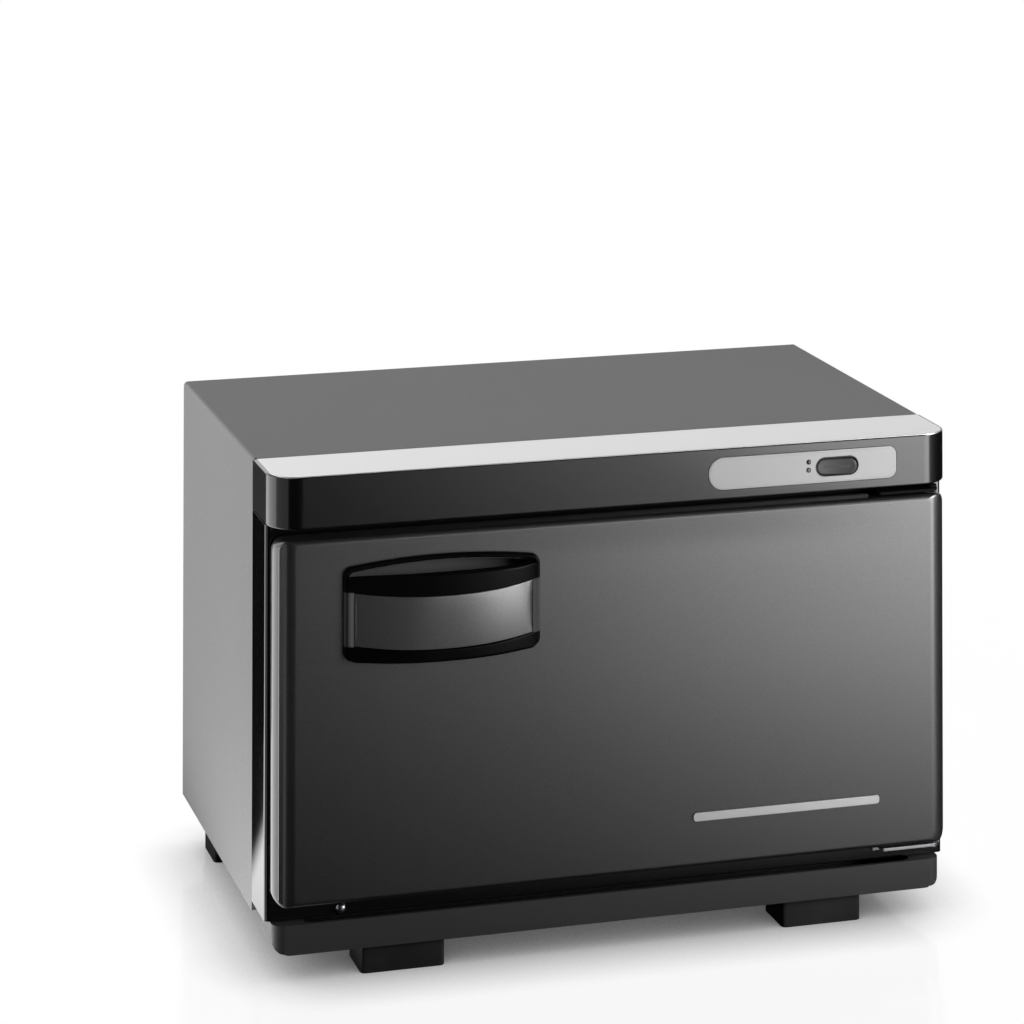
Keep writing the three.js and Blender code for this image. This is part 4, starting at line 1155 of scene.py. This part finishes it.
def wire_rack():
    (x0, y0, z0), (x1, y1, z1) = box_mm("wire_rack")
    r, rs = 2.0, 1.3
    ex, ey0, ey1, zr = x1 - r, y0 + r, y1 - r, z0 + r
    bm = bmesh.new()
    loop = [(x, y, zr) for x, y in rrect(-ex, ex, ey0, ey1, 10, 8, 10)[0]]
    tube_into(bm, loop, r, 16, True)
    for i in range(-7, 8):
        tube_into(bm, [(i * 22.6, ey0 + 0.6 + (ey1 - ey0 - 1.2) * k / 12, zr + 1.2) for k in range(13)], rs, 12)
    tube_into(bm, [(-ex + 0.6 + (2 * ex - 1.2) * k / 24, 10, zr - 0.8) for k in range(25)], rs, 12)
    add_object("rack_wires", bm, "stainless", "cabinet", ("wire_rack",), 60)


wire_rack()


def lead_bush():
    """Strain relief: flange, panel groove, and a tapering sleeve with rings."""
    (x0, y0, z0), (x1, y1, z1) = box_mm("cord_bush")
    cx, cz = (x0 + x1) / 2, (z0 + z1) / 2
    rb = 3.85
    prof = [(rb, y0), (8.1, y0), (8.4, y0 + 0.3), (8.4, y0 + 2.1), (8.1, y0 + 2.4), (6.9, y0 + 2.4), (6.9, 135.9), (9.1, 135.9), (9.5, 136.3), (9.5, 138.0), (8.9, 138.6)]
    y = 138.8
    while y < y1 - 1.6:
        t = (y - 138.8) / (y1 - 138.8)
        prof += [(5.9 - 0.9 * t, y), (5.9 - 0.9 * t, y + 0.9), (5.2 - 0.7 * t, y + 1.1), (5.2 - 0.7 * t, y + 1.6)]
        y += 1.8
    prof += [(4.9, y1 - 0.4), (4.6, y1), (rb, y1), (rb, y0)]
    loops = []
    seg = 32
    for r, h in prof:
        loops.append([(cx + r * math.cos(2 * PI * i / seg), h, cz + r * math.sin(2 * PI * i / seg)) for i in range(seg)])
    bm = bmesh.new()
    loft_into(bm, loops, False, False)
    add_object("lead_bush", bm, "rubber", "cabinet", ("cord_bush",), 40)


lead_bush()


def pan_screw_into(bm, centre, axis, r=3.2, h=1.6):
    """Pan-head screw with a round conical recess; axis points out of the surface."""
    ax = Vector(axis).normalized()
    prof = [(0.0, -2.0), (1.5, -2.0), (1.5, 0.0), (r - 0.15, 0.0), (r, 0.15), (r, h * 0.35)]
    for k in range(1, 7):
        a = (PI / 2) * k / 6
        prof.append((r * 0.55 + r * 0.45 * math.cos(a), h * 0.35 + h * 0.65 * math.sin(a)))
    prof += [(r * 0.34, h), (r * 0.30, h - 0.12), (r * 0.12, h - 0.8), (0.0, h - 0.85)]
    lathe_into(bm, prof, centre, axis, 24)


def fasteners():
    """Screws of the rear panel and of the feet."""
    (x0, y0, z0), (x1, y1, z1) = box_mm("rear_panel")
    bm = bmesh.new()
    for x, z in ((-212, 302), (0, 302), (212, 302), (-212, 172), (212, 172), (-212, 44), (0, 44), (212, 44)):
        pan_screw_into(bm, (x, y1 + 0.02, z), (0, 1, 0), 3.4, 1.8)
    add_object("rear_panel_screws", bm, "zinc", "cabinet", (), 40)
    bm = bmesh.new()
    for n in ("foot_front_left", "foot_front_right", "foot_rear_left", "foot_rear_right"):
        lo, hi = box_mm(n)
        pan_screw_into(bm, ((lo[0] + hi[0]) / 2, (lo[1] + hi[1]) / 2, 6.0), (0, 0, -1), 4.2, 2.0)
    add_object("foot_screws", bm, "zinc", "cabinet", (), 40)


fasteners()


# ---------------------------------------------------------------- carried-over CAD nodes
for n, o in NODES.items():
    if o.hide_render:
        continue
    o.data.materials.clear()
    o.data.materials.append(slot_mat[n])
    w = o.modifiers.new("weld", "WELD")
    w.merge_threshold = 1e-5
    if n in ("power_cord", "wiring_loom", "heating_element"):
        sub = o.modifiers.new("round", "SUBSURF")
        sub.levels = sub.render_levels = 1
    elif n in ("hinge_pin_bottom", "hinge_pin_top", "hinge_bush_bottom", "hinge_bush_top", "frame_screw", "plug_pin_live", "plug_pin_earth", "plug_pin_neutral", "thermal_cutout"):
        b = o.modifiers.new("ease", "BEVEL")
        b.width = 0.00025
        b.segments = 2
        b.limit_method = "ANGLE"
        b.angle_limit = math.radians(50)
    s = o.modifiers.new("weighted", "WEIGHTED_NORMAL")
    s.keep_sharp = True
    for p in o.data.polygons:
        p.use_smooth = True

# ---------------------------------------------------------------- stage, light and camera
LIGHTS = {
    # name: (location, target, width, height, watts)
    "key_near": ((0.95, -0.95, 0.45), (0.1, -0.15, 0.2), 0.5, 0.5, 12.0),
    "left_soft": ((-2.2, 0.1, 1.0), (0, 0, 0.15), 1.6, 1.6, 14.0),
    "left_back": ((-1.5, 1.6, 0.5), (-0.2, 0.1, 0.15), 1.0, 1.0, 10.0),
    "top_soft": ((0.0, 0.4, 2.4), (0, 0, 0.2), 2.2, 2.0, 2.0),
}
AMBIENT = {"ambient": 0.02, "from_left": 0.0, "from_behind": 1.0, "from_above": 0.0, "floor_left": 2.1, "floor_corner": 0.45, "floor_front": 0.05, "floor_far": 5.2, "floor_right": 1.05}


def value(nt, key):
    n = nt.nodes.new("ShaderNodeValue")
    n.name = n.label = key
    n.outputs[0].default_value = AMBIENT[key]
    return n.outputs[0]


def stage():
    bm = bmesh.new()
    s = 4.0
    for x, y in ((-s, -s), (s, -s), (s, s), (-s, s)):
        bm.verts.new((x, y, 0))
    bm.faces.new(bm.verts)
    me = bpy.data.meshes.new("floor")
    bm.to_mesh(me)
    bm.free()
    o = bpy.data.objects.new("floor", me)
    bpy.context.scene.collection.objects.link(o)
    m = bpy.data.materials.new("floor")
    m.use_nodes = True
    nt = m.node_tree
    nt.nodes.clear()
    out = nt.nodes.new("ShaderNodeOutputMaterial")
    tc = nt.nodes.new("ShaderNodeTexCoord")
    sep = nt.nodes.new("ShaderNodeSeparateXYZ")
    nt.links.new(tc.outputs["Object"], sep.inputs[0])
    ln = nt.nodes.new("ShaderNodeVectorMath")
    ln.operation = "LENGTH"
    nt.links.new(tc.outputs["Object"], ln.inputs[0])

    def smooth(v, a, b):
        n = nt.nodes.new("ShaderNodeMapRange")
        n.interpolation_type = "SMOOTHSTEP"
        n.inputs["From Min"].default_value = a
        n.inputs["From Max"].default_value = b
        nt.links.new(v, n.inputs["Value"])
        return n.outputs[0]
    fade = smooth(ln.outputs["Value"], 0.45, 1.15)
    ao = nt.nodes.new("ShaderNodeAmbientOcclusion")
    ao.inputs["Distance"].default_value = 0.07
    ao.samples = 8
    shade = remap(nt, ao.outputs["AO"], 0.03, 1.0, 0.0, 0.86)
    mott = remap(nt, noise(nt, 6, 3, 0.5), 0.995, 1.0, 0.3, 0.7)
    near = math_node(nt, "MULTIPLY", shade, mott)
    lit = nt.nodes.new("ShaderNodeMix")
    nt.links.new(fade, lit.inputs[0])
    nt.links.new(near, lit.inputs[2])
    lit.inputs[3].default_value = 1.0
    seen = nt.nodes.new("ShaderNodeEmission")
    nt.links.new(lit.outputs[0], seen.inputs["Strength"])
    gl = nt.nodes.new("ShaderNodeBsdfGlossy")
    gl.inputs["Roughness"].default_value = 0.14
    gain = 1.0 / (AMBIENT["ambient"] + AMBIENT["from_behind"])
    gl.inputs["Color"].default_value = (gain, gain, gain, 1)
    glw = math_node(nt, "MULTIPLY", math_node(nt, "SUBTRACT", 1.0, fade), 0.07)
    withg = nt.nodes.new("ShaderNodeMixShader")
    nt.links.new(glw, withg.inputs[0])
    nt.links.new(seen.outputs[0], withg.inputs[1])
    nt.links.new(gl.outputs[0], withg.inputs[2])
    # other rays see a floor that is bright beside the left wall and, in front, brightens away to the right
    px, py = sep.outputs[0], sep.outputs[1]
    mul = lambda p, q: math_node(nt, "MULTIPLY", p, q)
    add = lambda p, q: math_node(nt, "ADD", p, q)
    far_left = mul(math_node(nt, "MAXIMUM", add(mul(px, -1.0), -0.40), 0.0), 1.5)
    edge = add(px, add(mul(py, 0.42), 0.230))
    fl = mul(mul(mul(smooth(edge, 0.008, -0.008), smooth(py, -0.16, -0.10)), smooth(add(py, mul(far_left, -1.0)), 0.34, 0.31)), value(nt, "floor_left"))
    ahead = math_node(nt, "MAXIMUM", add(mul(py, -1.0), -0.148), 0.0)
    fan = add(add(px, 0.22), mul(ahead, 0.87))
    fc = mul(mul(smooth(fan, 0.01, -0.05), smooth(py, -0.10, -0.16)), value(nt, "floor_corner"))
    wedge = add(px, mul(py, 0.9))
    front = mul(mul(smooth(add(px, mul(py, 0.19)), -0.262, -0.236), smooth(wedge, 0.35, 0.05)), smooth(py, -0.215, -0.285))
    ff = mul(front, value(nt, "floor_front"))
    rise = mul(smooth(px, 0.05, 0.95), smooth(py, -0.1, -1.25))
    far = mul(mul(front, rise), value(nt, "floor_far"))
    nearer = mul(add(mul(smooth(py, -1.1, -0.7), 0.4), 0.6), add(mul(smooth(py, -0.25, -0.75), 0.45), 0.6))
    rgt = mul(mul(front, mul(smooth(px, -0.15, 0.50), nearer)), value(nt, "floor_right"))
    fl = add(fl, fc)
    beyond = mul(mul(smooth(py, -1.03, -1.12), smooth(px, 0.65, 0.40)), -0.55)
    ahead_glow = mul(add(far, rgt), add(beyond, 1.0))
    glow = math_node(nt, "ADD", math_node(nt, "ADD", fl, ff), ahead_glow)
    e = nt.nodes.new("ShaderNodeEmission")
    aos = remap(nt, ao.outputs["AO"], 0.1, 1.0, 0.0, 0.95)
    nt.links.new(mul(glow, aos), e.inputs["Strength"])
    lp = nt.nodes.new("ShaderNodeLightPath")
    mx = nt.nodes.new("ShaderNodeMixShader")
    nt.links.new(lp.outputs["Is Camera Ray"], mx.inputs[0])
    nt.links.new(e.outputs[0], mx.inputs[1])
    nt.links.new(withg.outputs[0], mx.inputs[2])
    nt.links.new(mx.outputs[0], out.inputs[0])
    m.cycles.emission_sampling = "NONE"
    me.materials.append(m)


stage()

for name, (loc, target, sx, sy, watts) in LIGHTS.items():
    if watts <= 0:
        continue
    l = bpy.data.lights.new(name, "AREA")
    l.energy = watts
    l.shape = "RECTANGLE"
    l.size, l.size_y = sx, sy
    o = bpy.data.objects.new(name, l)
    bpy.context.scene.collection.objects.link(o)
    o.location = loc
    o.rotation_mode = "QUATERNION"
    o.rotation_quaternion = (Vector(target) - Vector(loc)).to_track_quat("-Z", "Y")
    o.visible_camera = False
    o.visible_glossy = name != "left_back"

w = bpy.data.worlds.new("studio")
bpy.context.scene.world = w
w.use_nodes = True
nt = w.node_tree
nt.nodes.clear()
out = nt.nodes.new("ShaderNodeOutputWorld")
lp = nt.nodes.new("ShaderNodeLightPath")
tc = nt.nodes.new("ShaderNodeTexCoord")
sep = nt.nodes.new("ShaderNodeSeparateXYZ")
nt.links.new(tc.outputs["Generated"], sep.inputs[0])
left = remap(nt, sep.outputs[0], 1.0, 0.0, -1.0, 0.2)
behind = math_node(nt, "MULTIPLY", remap(nt, sep.outputs[1], 0.0, 1.0, 0.1, 0.7), remap(nt, sep.outputs[0], 1.2, 0.85, 0.1, 0.5))
behind = math_node(nt, "MULTIPLY", behind, remap(nt, sep.outputs[2], 1.0, 0.0, 0.35, 0.75))
above = remap(nt, sep.outputs[2], 0.0, 1.0, 0.1, 1.0)
total = value(nt, "ambient")
for key, part in (("from_left", left), ("from_behind", behind), ("from_above", above)):
    total = math_node(nt, "ADD", total, math_node(nt, "MULTIPLY", part, value(nt, key)))
bg_cam = nt.nodes.new("ShaderNodeBackground")
bg_cam.inputs[0].default_value = (1, 1, 1, 1)
bg = nt.nodes.new("ShaderNodeBackground")
bg.inputs[0].default_value = (1, 1, 1, 1)
nt.links.new(total, bg.inputs[1])
mx = nt.nodes.new("ShaderNodeMixShader")
nt.links.new(lp.outputs["Is Camera Ray"], mx.inputs[0])
nt.links.new(bg.outputs[0], mx.inputs[1])
nt.links.new(bg_cam.outputs[0], mx.inputs[2])
nt.links.new(mx.outputs[0], out.inputs[0])

sc = bpy.context.scene
sc.view_settings.view_transform = "Standard"
sc.view_settings.look = "None"

cam_data = bpy.data.cameras.new("camera")
cam = bpy.data.objects.new("camera", cam_data)
sc.collection.objects.link(cam)
sc.camera = cam
CX, CY, CZ = -0.6968, -2.3065, 0.8522
right = Vector((0.9606, -0.2780, 0.0005)).normalized()
down = Vector((0.0078, 0.0251, -0.9997))
down = (down - right * down.dot(right)).normalized()
fwd = right.cross(down)
cam.matrix_world = Matrix(((right.x, -down.x, -fwd.x, CX), (right.y, -down.y, -fwd.y, CY), (right.z, -down.z, -fwd.z, CZ), (0, 0, 0, 1)))
cam_data.sensor_width = 36
cam_data.lens = 3572.8 / 1024 * 36
cam_data.clip_start, cam_data.clip_end = 0.05, 60
# The lens shift that keeps uprights parallel belongs to this standpoint only, so it is 0 anywhere else.
d = cam_data.driver_add("shift_y").driver
d.type = "SCRIPTED"
for nm, ch in (("px", "LOC_X"), ("py", "LOC_Y")):
    v = d.variables.new()
    v.name = nm
    v.type = "TRANSFORMS"
    v.targets[0].id = cam
    v.targets[0].transform_type = ch
    v.targets[0].transform_space = "WORLD_SPACE"
d.expression = "-0.983 if abs(px + 0.6968) < 0.001 and abs(py + 2.3065) < 0.001 else 0"

# ---------------------------------------------------------------- update the view layer
bpy.context.view_layer.update()
